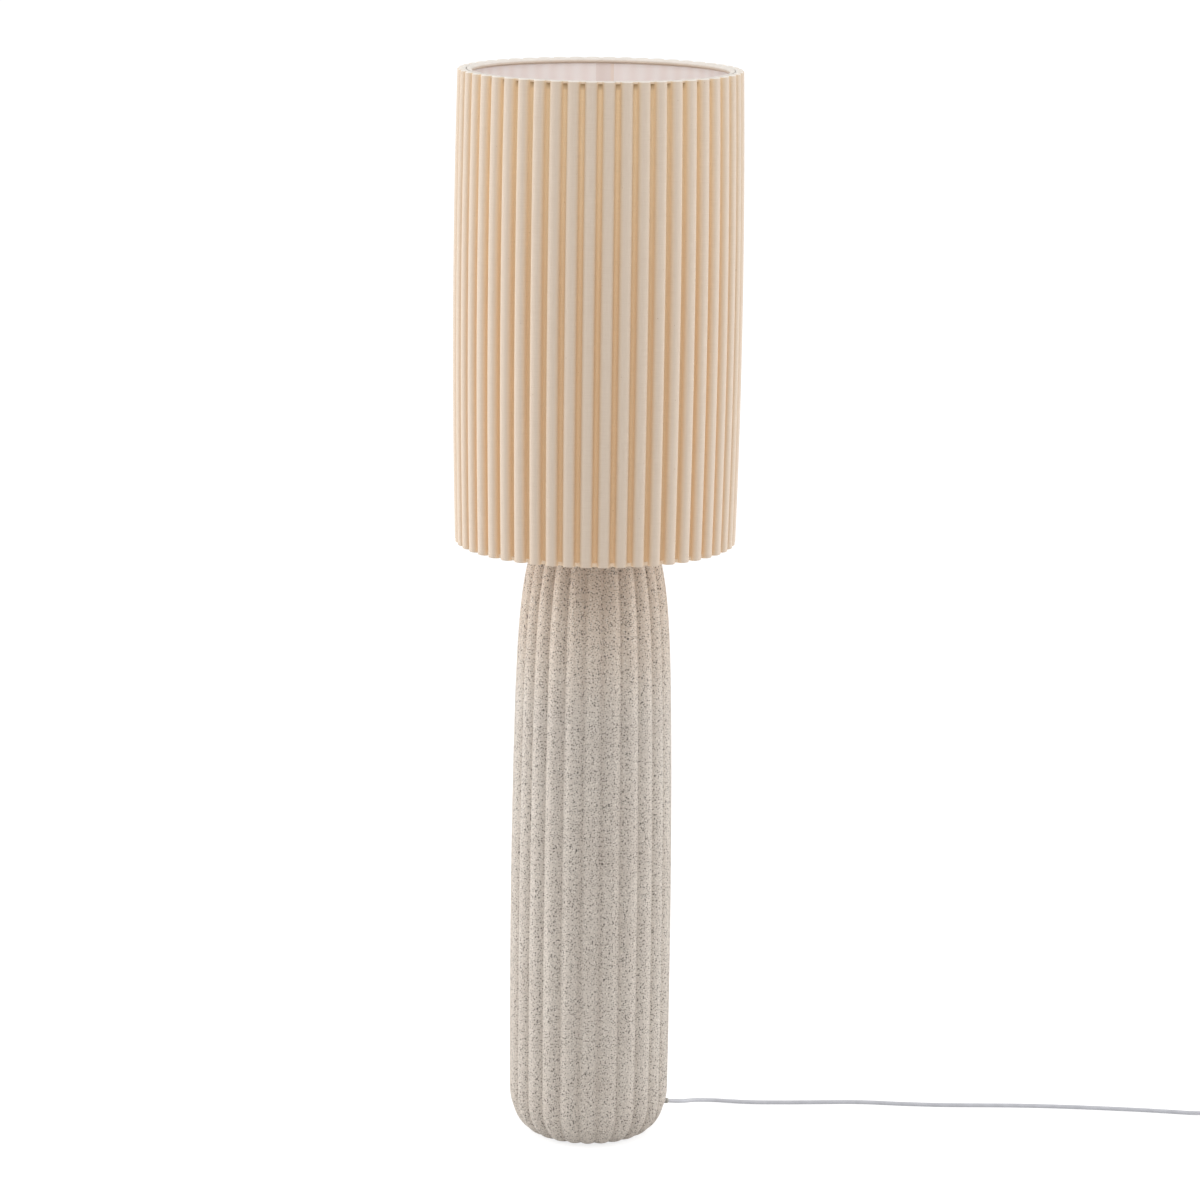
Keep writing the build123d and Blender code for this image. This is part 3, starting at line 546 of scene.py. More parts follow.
@dataclass(frozen=True)
class Paper(Finish):
    """Pale studio paper, which shows white and keeps a faint shadow."""

    light: Colour
    glow: float
    shade: float

    def paint(self, graph: Graph) -> None:
        """Paint the paper that lights the lamp, and the white with its shadow that shows."""
        clouds = graph.noise(graph.place(), 0.8, 2.0)
        graph.surface({
            "Base Color": graph.mix(graph.spread(clouds, 0.0, 1.0), self.colour, self.light),
            "Roughness": 0.9,
            "Specular IOR Level": 0.0,
        })
        paper = graph.nodes["Principled BSDF"].outputs[0]
        shade = graph.add("BsdfDiffuse", {}, {})
        shade.inputs["Color"].default_value = (self.shade, self.shade, self.shade, 1.0)
        glow = graph.add("Emission", {}, {"Color": (255, 255, 255), "Strength": self.glow})
        shown = graph.add("AddShader", {}, {0: shade.outputs[0], 1: glow.outputs[0]})
        choice = graph.add("MixShader", {}, {0: graph.seen(), 1: paper, 2: shown.outputs[0]})
        graph.feed(graph.nodes["Material Output"].inputs["Surface"], choice.outputs[0])


DARK_SPECK = (50, 43, 37)
# The warm tint towards the shoulder is painted bounce light from the linen shade.
STONEWARE = Stoneware(
    "speckled_stoneware", (197, 188, 178), warm=(191, 181, 171), linen_bounce=(206, 181, 156),
    linen_bounce_span=(0.56, 0.78), layers=(
        Specks(2.0 * MM, 0.8 * MM, 0.9, (230, 223, 213)),
        Specks(1.9 * MM, 0.84 * MM, 1.0, DARK_SPECK),
        Specks(3.6 * MM, 1.15 * MM, 1.0, DARK_SPECK),
    ),
)
# fold and high_fold are painted shade in the folds, pocket is painted shade under the top strip and edge is
# a painted highlight on the top edge.
LINEN = Linen(
    "natural_linen", (213, 197, 180), fold=(227, 197, 160), high_fold=(234, 209, 174),
    strip=(226, 205, 180), pocket_shade=(180, 155, 122), edge=(244, 238, 230),
    flecks=Specks(12.5 * MM, 0.8 * MM, 0.45, (150, 112, 76)), thread=0.62 * MM,
)
FLOOR = Paper("white_floor", (232, 232, 232), (236, 236, 236), glow=0.8, shade=0.35)
# The third colour of each lining is the painted light of the pleats showing through.
LINING = Lining("white_laminate", (250, 239, 235), (254, 247, 244), (246, 230, 219), 50)
SEAM = Lining("lapped_laminate", (240, 226, 220), (244, 232, 227), (246, 230, 219), 50)
# The last colour is the turned-in leg's tone, partly painted shade under the fold.
TAPE = Tape("edge_tape", (247, 241, 233), (239, 231, 222), (222, 204, 185), 1400.0)
WHITE_WIRE = Moulding("white_wire_coat", (232, 230, 226), 0.35)
WHITE_PLASTIC = Moulding("white_moulding", (226, 225, 221), 0.38)
BUTTON_PLASTIC = Moulding("button_moulding", (216, 215, 211), 0.45)
# The gland is white plastic, painted grey for the shade that it sits in.
SHADED_GLAND_PLASTIC = Moulding("gland_moulding_painted_shade", (178, 173, 166), 0.48)
SHEATH = Moulding("cord_sheath", (198, 199, 205), 0.42, 500.0)
RUBBER = Moulding("rubber_feet", (70, 69, 68), 0.75)
STEEL = Metal("plated_steel", (196, 196, 194), 0.3)
BRASS = Metal("turned_brass", (205, 170, 104), 0.3)
OPAL = Opal("opal_glass", (240, 238, 234), 0.22, 0.35)
BLACK_GLASS = Opal("black_glass", (30, 29, 30), 0.12, 0.0)
FELT = Fibre("grey_felt", (92, 88, 84), (126, 120, 114), 420.0, 0.5 * MM)
BOARD = Fibre("pressed_board", (128, 96, 66), (156, 122, 88), 260.0, 0.1 * MM)


def dress(piece: bpy.types.Object, finish: Finish) -> None:
    """Put a finish on every slot of a piece.

    Args:
        piece: New piece or carried-over node.
        finish: Finish that it gets.
    """
    if not piece.material_slots:
        piece.data.materials.append(finish.material())
    for slot in piece.material_slots:
        slot.material = finish.material()


def settle(
    piece: bpy.types.Object, finish: Finish, body: Body, nodes: Iterable[str] = ()
) -> bpy.types.Object:
    """Dress a piece and let it ride on its body, in place of the nodes that it stands for.

    Args:
        piece: Piece with its final mesh.
        finish: Finish that it gets.
        body: Body that carries it.
        nodes: Nodes that the piece replaces.

    Returns:
        The same piece.
    """
    dress(piece, finish)
    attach(piece, body.value)
    if nodes:
        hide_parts(*nodes)
    log.info("%s rides on %s", piece.name, body.value)
    return piece


def put(name: str, data: bpy.types.ID) -> bpy.types.Object:
    """Put a new object in the scene.

    Args:
        name: Name of the object.
        data: Its mesh, curve, camera or light.

    Returns:
        The object, at the origin.
    """
    made = bpy.data.objects.new(name, data)
    bpy.context.scene.collection.objects.link(made)
    return made


def mesh_piece(name: str, bm: bmesh.types.BMesh, sharp_degrees: float = 35.0) -> bpy.types.Object:
    """Turn a bmesh into a smooth-shaded object at the origin.

    Args:
        name: Name of the piece.
        bm: Finished bmesh, freed here.
        sharp_degrees: Edges that turn by more than this stay sharp.

    Returns:
        The new object.
    """
    mesh = bpy.data.meshes.new(name)
    bm.to_mesh(mesh)
    bm.free()
    for polygon in mesh.polygons:
        polygon.use_smooth = True
    mesh.set_sharp_from_angle(angle=math.radians(sharp_degrees))
    return put(name, mesh)


def clean(bm: bmesh.types.BMesh) -> None:
    """Merge doubles and turn the faces outwards."""
    bmesh.ops.remove_doubles(bm, verts=bm.verts, dist=0.001 * MM)
    bmesh.ops.recalc_face_normals(bm, faces=bm.faces)


def turned(outline: list[Spot], steps: int, closed: bool) -> bmesh.types.BMesh:
    """Turn an outline about the vertical axis.

    Args:
        outline: Radius and height of each point, in metres.
        steps: Steps round the full turn.
        closed: Whether the last point joins the first.

    Returns:
        The turned bmesh.
    """
    bm = bmesh.new()
    points = [bm.verts.new((radius, 0.0, height)) for radius, height in outline]
    pairs = list(zip(points, points[1:]))
    if closed:
        pairs.append((points[-1], points[0]))
    edges = [bm.edges.new(pair) for pair in pairs]
    bmesh.ops.spin(bm, geom=points + edges, cent=(0.0, 0.0, 0.0), axis=(0.0, 0.0, 1.0),
                   angle=FULL_TURN, steps=steps, use_merge=True)
    clean(bm)
    return bm


def arc(centre: Spot, radius: float, start: float, end: float, steps: int) -> list[Spot]:
    """List the points of an arc in an outline.

    Args:
        centre: Radius and height of the arc's centre.
        radius: Radius of the arc.
        start: Angle of the first point in degrees, 0 pointing outwards.
        end: Angle of the last point in degrees.
        steps: Number of steps.

    Returns:
        Radius and height of each point.
    """
    angles = [math.radians(start + (end - start) * share) for share in shares(steps)]
    return [(centre[0] + radius * math.cos(angle), centre[1] + radius * math.sin(angle))
            for angle in angles]


def cut_away(piece: bpy.types.Object, cutter: bpy.types.Object) -> None:
    """Cut one piece by another, which is then removed.

    Args:
        piece: Piece that is cut.
        cutter: Closed mesh of what is taken away.
    """
    cut = piece.modifiers.new("cut", "BOOLEAN")
    cut.operation = "DIFFERENCE"
    cut.solver = "EXACT"
    cut.object = cutter
    seen = piece.evaluated_get(bpy.context.evaluated_depsgraph_get())
    old = piece.data
    name = old.name
    piece.data = bpy.data.meshes.new_from_object(seen)
    piece.modifiers.clear()
    bpy.data.meshes.remove(old)
    piece.data.name = name
    bpy.data.objects.remove(cutter)


@dataclass(frozen=True)
class SoftBox:
    """One rectangular soft light, with its place, the point that it faces, its size and its power."""

    name: str
    place: Point
    target: Point
    width: float
    height: float
    watts: float

    def hang(self) -> None:
        """Hang the light and turn it to its target."""
        data = bpy.data.lights.new(self.name, "AREA")
        data.shape = "RECTANGLE"
        data.size = self.width
        data.size_y = self.height
        data.energy = self.watts
        aim = (Vector(self.target) - Vector(self.place)).to_track_quat("-Z", "Y")
        put(self.name, data).matrix_world = Matrix.Translation(self.place) @ aim.to_matrix().to_4x4()


@dataclass
class Studio:
    """White floor, soft light and the camera."""

    eye: Point = (0.0071, -5.286, 1.824)
    pitch: float = 12.07
    roll: float = 0.72
    lens: float = 129.5
    sensor: float = 36.0
    floor_size: float = 120.0
    sky: float = 0.78
    boxes: tuple[SoftBox, ...] = (
        SoftBox("left_box", (-2.7, 0.45, 0.85), (0.0, 0.0, 0.6), 1.2, 1.7, 46.0),
        SoftBox("right_box", (2.7, 0.5, 0.85), (0.0, 0.0, 0.6), 1.2, 1.7, 35.0),
        SoftBox("high_box", (0.0, -2.0, 2.9), (0.0, 0.0, 1.15), 2.0, 1.4, 17.0),
    )

    def build(self) -> None:
        """Set up the whole studio."""
        bpy.context.scene.view_settings.view_transform = "Standard"
        self.place_camera()
        self.lay_floor()
        self.light_sky()
        for box in self.boxes:
            box.hang()
        log.info("studio is set")

    def place_camera(self) -> None:
        """Stand the camera where the view is taken from."""
        data = bpy.data.cameras.new("camera")
        data.lens = self.lens
        data.sensor_width = self.sensor
        camera = put("camera", data)
        tilt = Matrix.Rotation(math.radians(90.0 - self.pitch), 4, "X")
        roll = Matrix.Rotation(math.radians(self.roll), 4, "Z")
        camera.matrix_world = Matrix.Translation(self.eye) @ tilt @ roll
        bpy.context.scene.camera = camera

    def lay_floor(self) -> None:
        """Lay the pale floor."""
        bm = bmesh.new()
        bmesh.ops.create_grid(bm, x_segments=1, y_segments=1, size=self.floor_size / 2.0)
        floor = mesh_piece("studio_floor", bm)
        dress(floor, FLOOR)

    def light_sky(self) -> None:
        """Give the room a white look and a soft grey light."""
        world = bpy.data.worlds.new("studio_room")
        world.use_nodes = True
        bpy.context.scene.world = world
        graph = Graph(world.node_tree)
        background = graph.nodes["Background"].inputs
        graph.feed(background["Color"], (255, 255, 255))
        graph.feed(background["Strength"], graph.spread(graph.seen(), self.sky, 1.0, 0.0, 1.0))


@dataclass
class FlutedBody:
    """Tall hollow stoneware body with rounded ribs."""

    belly_r: float = 101.75 * MM
    belly_rise: float = 250.0 * MM
    foot_r: float = 62.0 * MM
    foot_taper: float = 1.5 * MM
    corner_rise: float = 55.0 * MM
    top_r: float = 30.0 * MM
    inner_top_r: float = 22.0 * MM
    shoulder_taper: float = 11.5 * MM
    shoulder_power: float = 9.0
    flutes: int = 24
    flute_depth: float = 5.4 * MM
    flute_steps: int = 24
    round_share: float = 0.96
    groove_draw: float = 1.6
    inner_r: float = 89.75 * MM
    floor_wall: float = 11.0 * MM
    top_wall: float = 9.0 * MM
    inner_corner: float = 40.0 * MM
    hole_r: float = 5.3 * MM
    recess_r: float = 54.3 * MM
    recess: float = 1.0 * MM
    ledge_r: float = 45.0 * MM
    ledge: float = 5.3 * MM
    hand_hole_r: float = 38.0 * MM
    mouth_rise: float = 22.0 * MM
    mouth_angle: float = 30.0
    mouth_drop: float = 12.0
    seat_r: float = 7.8 * MM
    seat_depth: float = 2.5 * MM
    mouth_reach: float = 40.0 * MM
    mouth_steps: int = 64
    rim_inset: float = 6.0 * MM
    corner_steps: int = 15
    side_steps: int = 5
    shoulder_steps: int = 40
    shoulder_crowd: float = 1.7
    cavity_steps: int = 24

    def shoulder_radius(self, side_r: float, end_r: float, share: float) -> float:
        """Return the radius of the shoulder, outside or in the cavity.

        Args:
            side_r: Radius at the belly.
            end_r: Radius at the flat top.
            share: Share of the way from the belly to the top.

        Returns:
            The radius there.
        """
        end_share = end_r / (side_r - self.shoulder_taper)
        loss = (1.0 - end_share * end_share) * share ** self.shoulder_power
        return (side_r - self.shoulder_taper * share * share) * math.sqrt(1.0 - loss)

    def crest_radius(self, rise: float) -> float:
        """Return the radius over the ribs at a height above the foot."""
        if rise > self.belly_rise:
            share = (rise - self.belly_rise) / (self.height - self.belly_rise)
            return self.shoulder_radius(self.belly_r, self.top_r, share)
        side_r = self.belly_r - self.foot_taper * (1.0 - rise / self.belly_rise) ** 2
        if rise > self.corner_rise:
            return side_r
        share = 1.0 - rise / self.corner_rise
        return self.foot_r + (side_r - self.foot_r) * math.sqrt(1.0 - share * share)

    def build(self) -> None:
        """Turn the body, press its flutes and cut the cord's hole."""
        low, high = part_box("base_body")
        self.foot = low.z
        self.height = high.z - low.z
        piece = mesh_piece("stoneware_body", self.fluted(), sharp_degrees=40.0)
        cut_away(piece, self.mouth_cutter())
        settle(piece, STONEWARE, Body.BASE, ["base_body"])

    def outside(self) -> list[Spot]:
        """Return the outline from the foot's edge to the top's."""
        angles = [math.radians(90.0 * share) for share in shares(self.corner_steps)]
        rises = [self.corner_rise * (1.0 - math.cos(angle)) for angle in angles]
        side = self.belly_rise - self.corner_rise
        rises += [self.corner_rise + side * share for share in shares(self.side_steps)[1:]]
        crowded = [1.0 - (1.0 - share) ** self.shoulder_crowd for share in shares(self.shoulder_steps)[1:]]
        rises += [self.belly_rise + (self.height - self.belly_rise) * share for share in crowded]
        return [(self.crest_radius(rise), self.foot + rise) for rise in rises]

    def inside(self) -> list[Spot]:
        """Return the outline from the top hole down the inner wall to the hand hole."""
        top = self.foot + self.height - self.top_wall
        floor = self.foot + self.floor_wall
        start = self.foot + self.belly_rise
        crowded = [1.0 - share * share for share in shares(self.cavity_steps)]
        shoulder = [(self.shoulder_radius(self.inner_r, self.inner_top_r, share),
                     start + (top - start) * share) for share in crowded]
        bend = self.inner_corner
        corner = arc((self.inner_r - bend, floor + bend), bend, 0.0, -90.0, ARC_STEPS)
        return [(self.hole_r, top), *shoulder, *corner, (self.hand_hole_r, floor)]

    def fluted(self) -> bmesh.types.BMesh:
        """Return the whole body with its flutes pressed in."""
        ledge = self.foot + self.ledge
        seat = self.foot + self.recess
        outer = self.outside()
        top = outer[-1][1]
        rim = [(self.top_r - self.rim_inset, top), (self.hole_r, top)]
        under = [(self.hand_hole_r, ledge), (self.ledge_r, ledge), (self.ledge_r, seat),
                 (self.recess_r, seat), (self.recess_r, self.foot)]
        bm = turned([*outer, *rim, *self.inside(), *under], self.flutes * self.flute_steps, True)
        for vert in bm.verts:
            rise = min(self.height, max(0.0, vert.co.z - self.foot))
            if abs(math.hypot(vert.co.x, vert.co.y) - self.crest_radius(rise)) < 0.01 * MM:
                self.press(vert, rise)
        return bm

    def press(self, vert: bmesh.types.BMVert, rise: float) -> None:
        """Press one point of the outside in to the fluted form.

        Args:
            vert: Point on the plain outside.
            rise: Its height above the foot.
        """
        turn = math.atan2(vert.co.y, vert.co.x) / FULL_TURN * self.flutes
        crest = round(turn)
        side = 1.0 - (1.0 - min(1.0, 2.0 * abs(turn - crest))) ** self.groove_draw
        angle = (crest + math.copysign(0.5 * side, turn - crest)) * FULL_TURN / self.flutes
        radius = math.hypot(vert.co.x, vert.co.y)
        depth = self.flute_depth * (radius / self.belly_r if rise > self.belly_rise else 1.0)
        radius -= depth * self.groove(side)
        vert.co.x = radius * math.cos(angle)
        vert.co.y = radius * math.sin(angle)

    def groove(self, side: float) -> float:
        """Return the depth of the flute's section.

        Args:
            side: Share of the way from a rib's crest to the middle of the groove.

        Returns:
            0 at the crest and 1 in the middle of the groove, level at both.
        """
        bend = self.round_share
        over = max(0.0, side - bend)
        reach = 1.0 - bend
        sunk = min(side, bend) ** 2 + 2.0 * bend * over - bend * over * over / reach
        return sunk / (bend * bend + bend * reach)

    def mouth_cutter(self) -> bpy.types.Object:
        """Return the stepped plug that cuts the gland's seat and hole."""
        reach = self.mouth_reach
        outline = [(0.0, -reach), (self.hole_r, -reach), (self.hole_r, -self.seat_depth),
                   (self.seat_r, -self.seat_depth), (self.seat_r, reach), (0.0, reach)]
        bm = turned(outline, self.mouth_steps, False)
        tilt = Matrix.Rotation(math.radians(90.0 + self.mouth_drop), 4, "Y")
        turn = Matrix.Rotation(math.radians(self.mouth_angle), 4, "Z")
        place = Matrix.Translation((self.crest_radius(self.mouth_rise), 0.0, self.foot + self.mouth_rise))
        bmesh.ops.transform(bm, matrix=turn @ place @ tilt, verts=bm.verts)
        return mesh_piece("mouth_cutter", bm)


@dataclass
class Row:
    """One ring of the shade's cover.

    height is measured along the axis, tuck is the share pulled in to the hem, strip is the share of the
    pale strip that bridges the folds, puff lifts the crests, pocket is the share of painted shade in the
    folds under the top strip and edge is the share of painted highlight along the cloth's top edge.
    """

    height: float
    tuck: float = 0.0
    strip: float = 0.0
    puff: float = 0.0
    pocket_shade: float = 0.0
    edge: float = 0.0


@dataclass
class PleatedShade:
    """Tall drum of pleated linen over a stiff white lining."""

    end_r: float = 175.0 * MM
    barrel: float = 3.8 * MM
    pleats: int = 50
    depth: float = 10.0 * MM
    valley_share: float = 0.42
    flatness: float = 1.2
    cloth: float = 0.9 * MM
    columns: int = 18
    rows: int = 28
    strip_depth: float = 7.2 * MM
    bottom_strip: float = 5.5 * MM
    top_strip: float = 3.6 * MM
    strip_step: float = 0.9 * MM
    pocket_tall: float = 7.5 * MM
    edge_round: float = 1.0 * MM
    lip: float = 0.4 * MM
    lip_step: float = 0.1 * MM
    lip_end: float = 0.45 * MM
    # Fold depth where the painted shade under the top strip begins.
    pocket_shade_from: float = 0.6
    # Height share where the painted fold shade starts to lighten.
    rise_from: float = 0.45
    tuck_r: float = 164.4 * MM
    puff: float = 0.4 * MM
    lining_r: float = 163.0 * MM
    lining_thick: float = 0.8 * MM
    lining_inset: float = 1.0 * MM
    lining_rows: int = 12
    lining_steps: int = 256
    seam_angle: float = 88.2
    seam_width: float = 22.5 * MM
    seam_thick: float = 0.6 * MM
    seam_inset: float = 7.0 * MM
    seam_gap: float = 0.02 * MM
    glue_span: tuple[float, float] = (-0.75, -0.5)
    hem_r: float = 157.9 * MM
    hem_reach: float = 163.8 * MM
    hem_leg: float = 4.6 * MM
    hem_depth: float = 7.0 * MM
    hem_foot_r: float = 162.7 * MM
    hem_thick: float = 0.8 * MM
    hem_round: float = 2.95 * MM
    hem_ease: float = 0.4
    hem_wave: float = 0.15 * MM
    hem_steps: int = 300
    under_span: tuple[float, float] = (2.0 * MM, 3.6 * MM)
    notch: float = 7.0 * MM
    arm_angles: tuple[float, float, float] = (90.0, 210.0, 330.0)

    def build(self) -> None:
        """Make the cover, the lining with its seam, and both hems."""
        low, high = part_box("pleated_cover")
        self.low = low.z
        self.high = high.z
        self.tall = high.z - low.z
        cover = self.cover()
        hems = [self.hem(end) for end in End]
        lining = self.lining()
        seam = self.seam()

    def arcs(self, crest_r: float) -> tuple[float, float, float, float]:
        """Fit the round crest and the round valley of one pleat.

        Args:
            crest_r: Radius over the crests.

        Returns:
            Radius of the crest's arc, radius of the valley's arc, angle at which the two meet,
            and half the pitch, both in radians.
        """
        half = math.pi / self.pleats
        valley_r = crest_r - self.depth
        low, high = 0.0, self.depth
        halvings = 60
        for _ in range(halvings):
            middle = (low + high) / 2.0
            crest_x = crest_r - middle
            valley = valley_r + self.valley_share * middle
            span = math.dist((crest_x, 0.0), (valley * math.cos(half), valley * math.sin(half)))
            if span > middle * (1.0 + self.valley_share):
                low = middle
            else:
                high = middle
        crest_arc = (low + high) / 2.0
        valley_arc = self.valley_share * crest_arc
        centre = valley_r + valley_arc
        meet = math.atan2(centre * math.sin(half), centre * math.cos(half) - (crest_r - crest_arc))
        return crest_arc, valley_arc, meet, half

    def fold_length(self) -> float:
        """Return the length of cloth in one pleat."""
        places = [self.pleat_point(share, self.end_r) for share in shares(self.columns)]
        spots = [(radius * math.cos(angle), radius * math.sin(angle)) for radius, angle in places]
        return sum(math.dist(*pair) for pair in zip(spots, spots[1:]))

    def pleat_point(self, share: float, crest_r: float) -> tuple[float, float]:
        """Place one point of a pleat.

        Args:
            share: Share of the cloth from one crest to the next.
            crest_r: Radius over the crests.

        Returns:
            Radius, and angle from the crest in radians.
        """
        crest_arc, valley_arc, meet, half = self.arcs(crest_r)
        side = min(share, 1.0 - share)
        turn = crest_arc * meet
        walked = 2.0 * side * (turn + valley_arc * (meet - half))
        if walked < turn:
            bend = walked / crest_arc
            x = crest_r - crest_arc + crest_arc * math.cos(bend)
            y = crest_arc * math.sin(bend)
        else:
            bend = meet - (walked - turn) / valley_arc
            centre = crest_r - self.depth + valley_arc
            x = centre * math.cos(half) - valley_arc * math.cos(bend)
            y = centre * math.sin(half) - valley_arc * math.sin(bend)
        angle = math.atan2(y, x)
        sunk = max(0.0, crest_r - math.hypot(x, y)) / self.depth
        radius = crest_r - self.depth * sunk ** self.flatness
        return radius, angle if share <= 0.5 else 2.0 * half - angle

    def cover_rows(self) -> list[Row]:
        """List the cover's rings, from the tucked lower edge to the tucked upper one."""
        low, high = self.low, self.high
        start = low + self.bottom_strip
        end = high - self.top_strip
        half_step = 0.5 * self.strip_step
        lower = [
            Row(low + self.lip, tuck=1.0),
            Row(low + self.lip_step, tuck=0.6, puff=-0.5),
            Row(low, tuck=0.25, puff=-0.6),
            Row(low + self.lip_step, tuck=0.08, strip=0.5, puff=-0.4),
            Row(low + self.lip_end, tuck=0.02, strip=1.0, puff=-0.2),
            Row(low + self.edge_round, strip=1.0),
            Row(start - self.strip_step, strip=1.0),
            Row(start - half_step, strip=0.5),
        ]
        span = end - self.pocket_tall - start
        body = [Row(start + span * share) for share in shares(self.rows)]
        upper = [
            # These rows carry painted shade in the folds under the top strip.
            Row(end - 0.6 * self.pocket_tall, pocket_shade=0.5),
            Row(end - 0.1 * self.pocket_tall, pocket_shade=1.0),
            Row(end, pocket_shade=1.0),
            Row(end + half_step, strip=0.5, pocket_shade=0.5),
            Row(end + self.strip_step, strip=1.0),
            Row(high - self.edge_round, strip=1.0),
            # These rows carry a painted highlight along the top edge.
            Row(high - self.lip, tuck=0.02, strip=1.0, puff=0.3, edge=0.6),
            Row(high - self.lip_step, tuck=0.08, strip=0.6, puff=0.7, edge=1.0),
            Row(high, tuck=0.25, puff=1.0, edge=1.0),
            Row(high - self.lip_step, tuck=0.6, puff=0.8, edge=1.0),
            Row(high - self.lip, tuck=1.0, edge=1.0),
        ]
        return lower + body + upper

    def barrelled(self, height: float) -> float:
        """Return the radius over the crests at a height."""
        share = 2.0 * (height - self.low) / self.tall - 1.0
        return self.end_r + self.barrel * max(0.0, 1.0 - share * share)

    def cover(self) -> bpy.types.Object:
        """Return the pleated cloth, turned in at both ends."""
        bm = bmesh.new()
        flat = bm.loops.layers.uv.new("flat_cloth")
        names = ("fold", "strip", "pocket_shade", "edge", "rise", "turn")
        fold, strip, pocket_shade, edge, rise, turn = (bm.verts.layers.float.new(name) for name in names)
        level = bm.verts.layers.int.new("level")
        count = self.pleats * self.columns
        ring = bmesh.ops.create_circle(bm, cap_ends=False, segments=count, radius=self.end_r)["verts"]
        for vert in ring:
            vert[turn] = round(math.atan2(vert.co.y, vert.co.x) / FULL_TURN * count) % count / self.columns
        rows = self.cover_rows()
        edges = list(bm.edges)
        for index in range(1, len(rows)):
            made = bmesh.ops.extrude_edge_only(bm, edges=edges)["geom"]
            edges = [part for part in made if isinstance(part, bmesh.types.BMEdge)]
            for vert in made:
                if isinstance(vert, bmesh.types.BMVert):
                    vert[level] = index
        table = [[self.pleat_point(share, self.barrelled(row.height)) for share in shares(self.columns)]
                 for row in rows]
        for vert in bm.verts:
            row = rows[vert[level]]
            step = round(vert[turn] * self.columns) % self.columns
            radius, angle = table[vert[level]][step]
            crest_r = self.barrelled(row.height)
            crest = 1.0 - min(1.0, (crest_r - radius) / self.depth)
            bridged = max(radius, crest_r - self.strip_depth)
            # fold carries the painted shade in the folds, and rise lightens that painted shade towards the
            # top.
            vert[fold] = 1.0 - crest
            vert[strip] = row.strip if bridged > radius else 0.0
            # Painted shade in the deep folds under the top strip.
            vert[pocket_shade] = row.pocket_shade * ease(self.pocket_shade_from, 1.0, vert[fold])
            # Painted highlight along the cloth's top edge.
            vert[edge] = row.edge
            vert[rise] = ease(self.rise_from, 1.0, (row.height - self.low) / self.tall)
            radius += (bridged - radius) * row.strip
            radius += (self.tuck_r - radius) * row.tuck
            angle += FULL_TURN * math.floor(vert[turn] + 0.001) / self.pleats
            lift = self.puff * row.puff * crest
            vert.co = (radius * math.cos(angle), radius * math.sin(angle), row.height + lift)
        self.unroll(bm, flat, turn)
        clean(bm)
        piece = mesh_piece("linen_cover", bm, sharp_degrees=60.0)
        wall = piece.modifiers.new("cloth", "SOLIDIFY")
        wall.thickness = self.cloth
        wall.offset = -1.0
        return settle(piece, LINEN, Body.SHADE, ["pleated_cover"])

    def unroll(
        self, bm: bmesh.types.BMesh, flat: bmesh.types.BMLayerItem, turn: bmesh.types.BMLayerItem
    ) -> None:
        """Lay the cover's cloth out flat, in metres.

        Args:
            bm: Cover with every point in place.
            flat: Layer that takes the flat place.
            turn: Layer with each point's turn, in pleats.
        """
        length = self.fold_length()
        for face in bm.faces:
            turns = [loop.vert[turn] for loop in face.loops]
            wraps = max(turns) - min(turns) > self.pleats / 2
            for loop, pleat in zip(face.loops, turns):
                whole = pleat + self.pleats if wraps and pleat < self.pleats / 2 else pleat
                loop[flat].uv = (whole * length, loop.vert.co.z)

    def lining(self) -> bpy.types.Object:
        """Return the rolled white sheet."""
        low = self.low + self.lining_inset
        high = self.high - self.lining_inset
        outer = self.lining_r + self.lining_thick
        heights = [low + (high - low) * share for share in shares(self.lining_rows)]
        outline = [(outer, height) for height in heights]
        outline += [(self.lining_r, height) for height in reversed(heights)]
        piece = mesh_piece("drum_lining", turned(outline, self.lining_steps, True))
        return settle(piece, LINING, Body.SHADE, ["shade_lining"])

    def seam(self) -> bpy.types.Object:
        """Return the lapped strip down the back of the lining."""
        bm = bmesh.new()
        half_tall = self.tall / 2.0 - self.seam_inset
        bmesh.ops.create_grid(bm, x_segments=16, y_segments=24, size=1.0)
        middle = (self.low + self.high) / 2.0
        radius = self.lining_r - self.seam_gap
        half_turn = self.seam_width / 2.0 / radius
        for vert in bm.verts:
            angle = math.radians(self.seam_angle) + vert.co.x * half_turn
            vert.co = (radius * math.cos(angle), radius * math.sin(angle), middle + vert.co.y * half_tall)
        bm.normal_update()
        bmesh.ops.solidify(bm, geom=bm.faces, thickness=-self.seam_thick)
        clean(bm)
        lap = bm.verts.layers.float.new("lap")
        for vert in bm.verts:
            side = (math.atan2(vert.co.y, vert.co.x) - math.radians(self.seam_angle)) / half_turn
            vert[lap] = 1.0 - ease(*self.glue_span, side)
        return settle(mesh_piece("lining_seam", bm), SEAM, Body.SHADE)

    def hem(self, end: End) -> bpy.types.Object:
        """Return the tape folded over one end of the lining.

        Args:
            end: End of the shade.

        Returns:
            The hem's piece.
        """
        way = end.value
        edge = self.high if end is End.TOP else self.low
        thick = self.hem_thick
        bend = self.hem_round
        centre = (self.hem_r + bend, -bend)
        outline = [(self.hem_reach, 0.0), *arc(centre, bend, 90.0, 180.0, ARC_STEPS)]
        outline += [(self.hem_r, -self.hem_leg), (self.hem_foot_r, -self.hem_depth),
                    (self.hem_foot_r, thick - self.hem_depth),
                    (self.hem_r + thick, -self.hem_leg + self.hem_ease * thick)]
        outline += [*arc(centre, bend - thick, 180.0, 90.0, ARC_STEPS), (self.hem_reach, -thick)]
        bm = turned([(radius, edge + way * height) for radius, height in outline], self.hem_steps, True)
        under = bm.verts.layers.float.new("under")
        for vert in bm.verts:
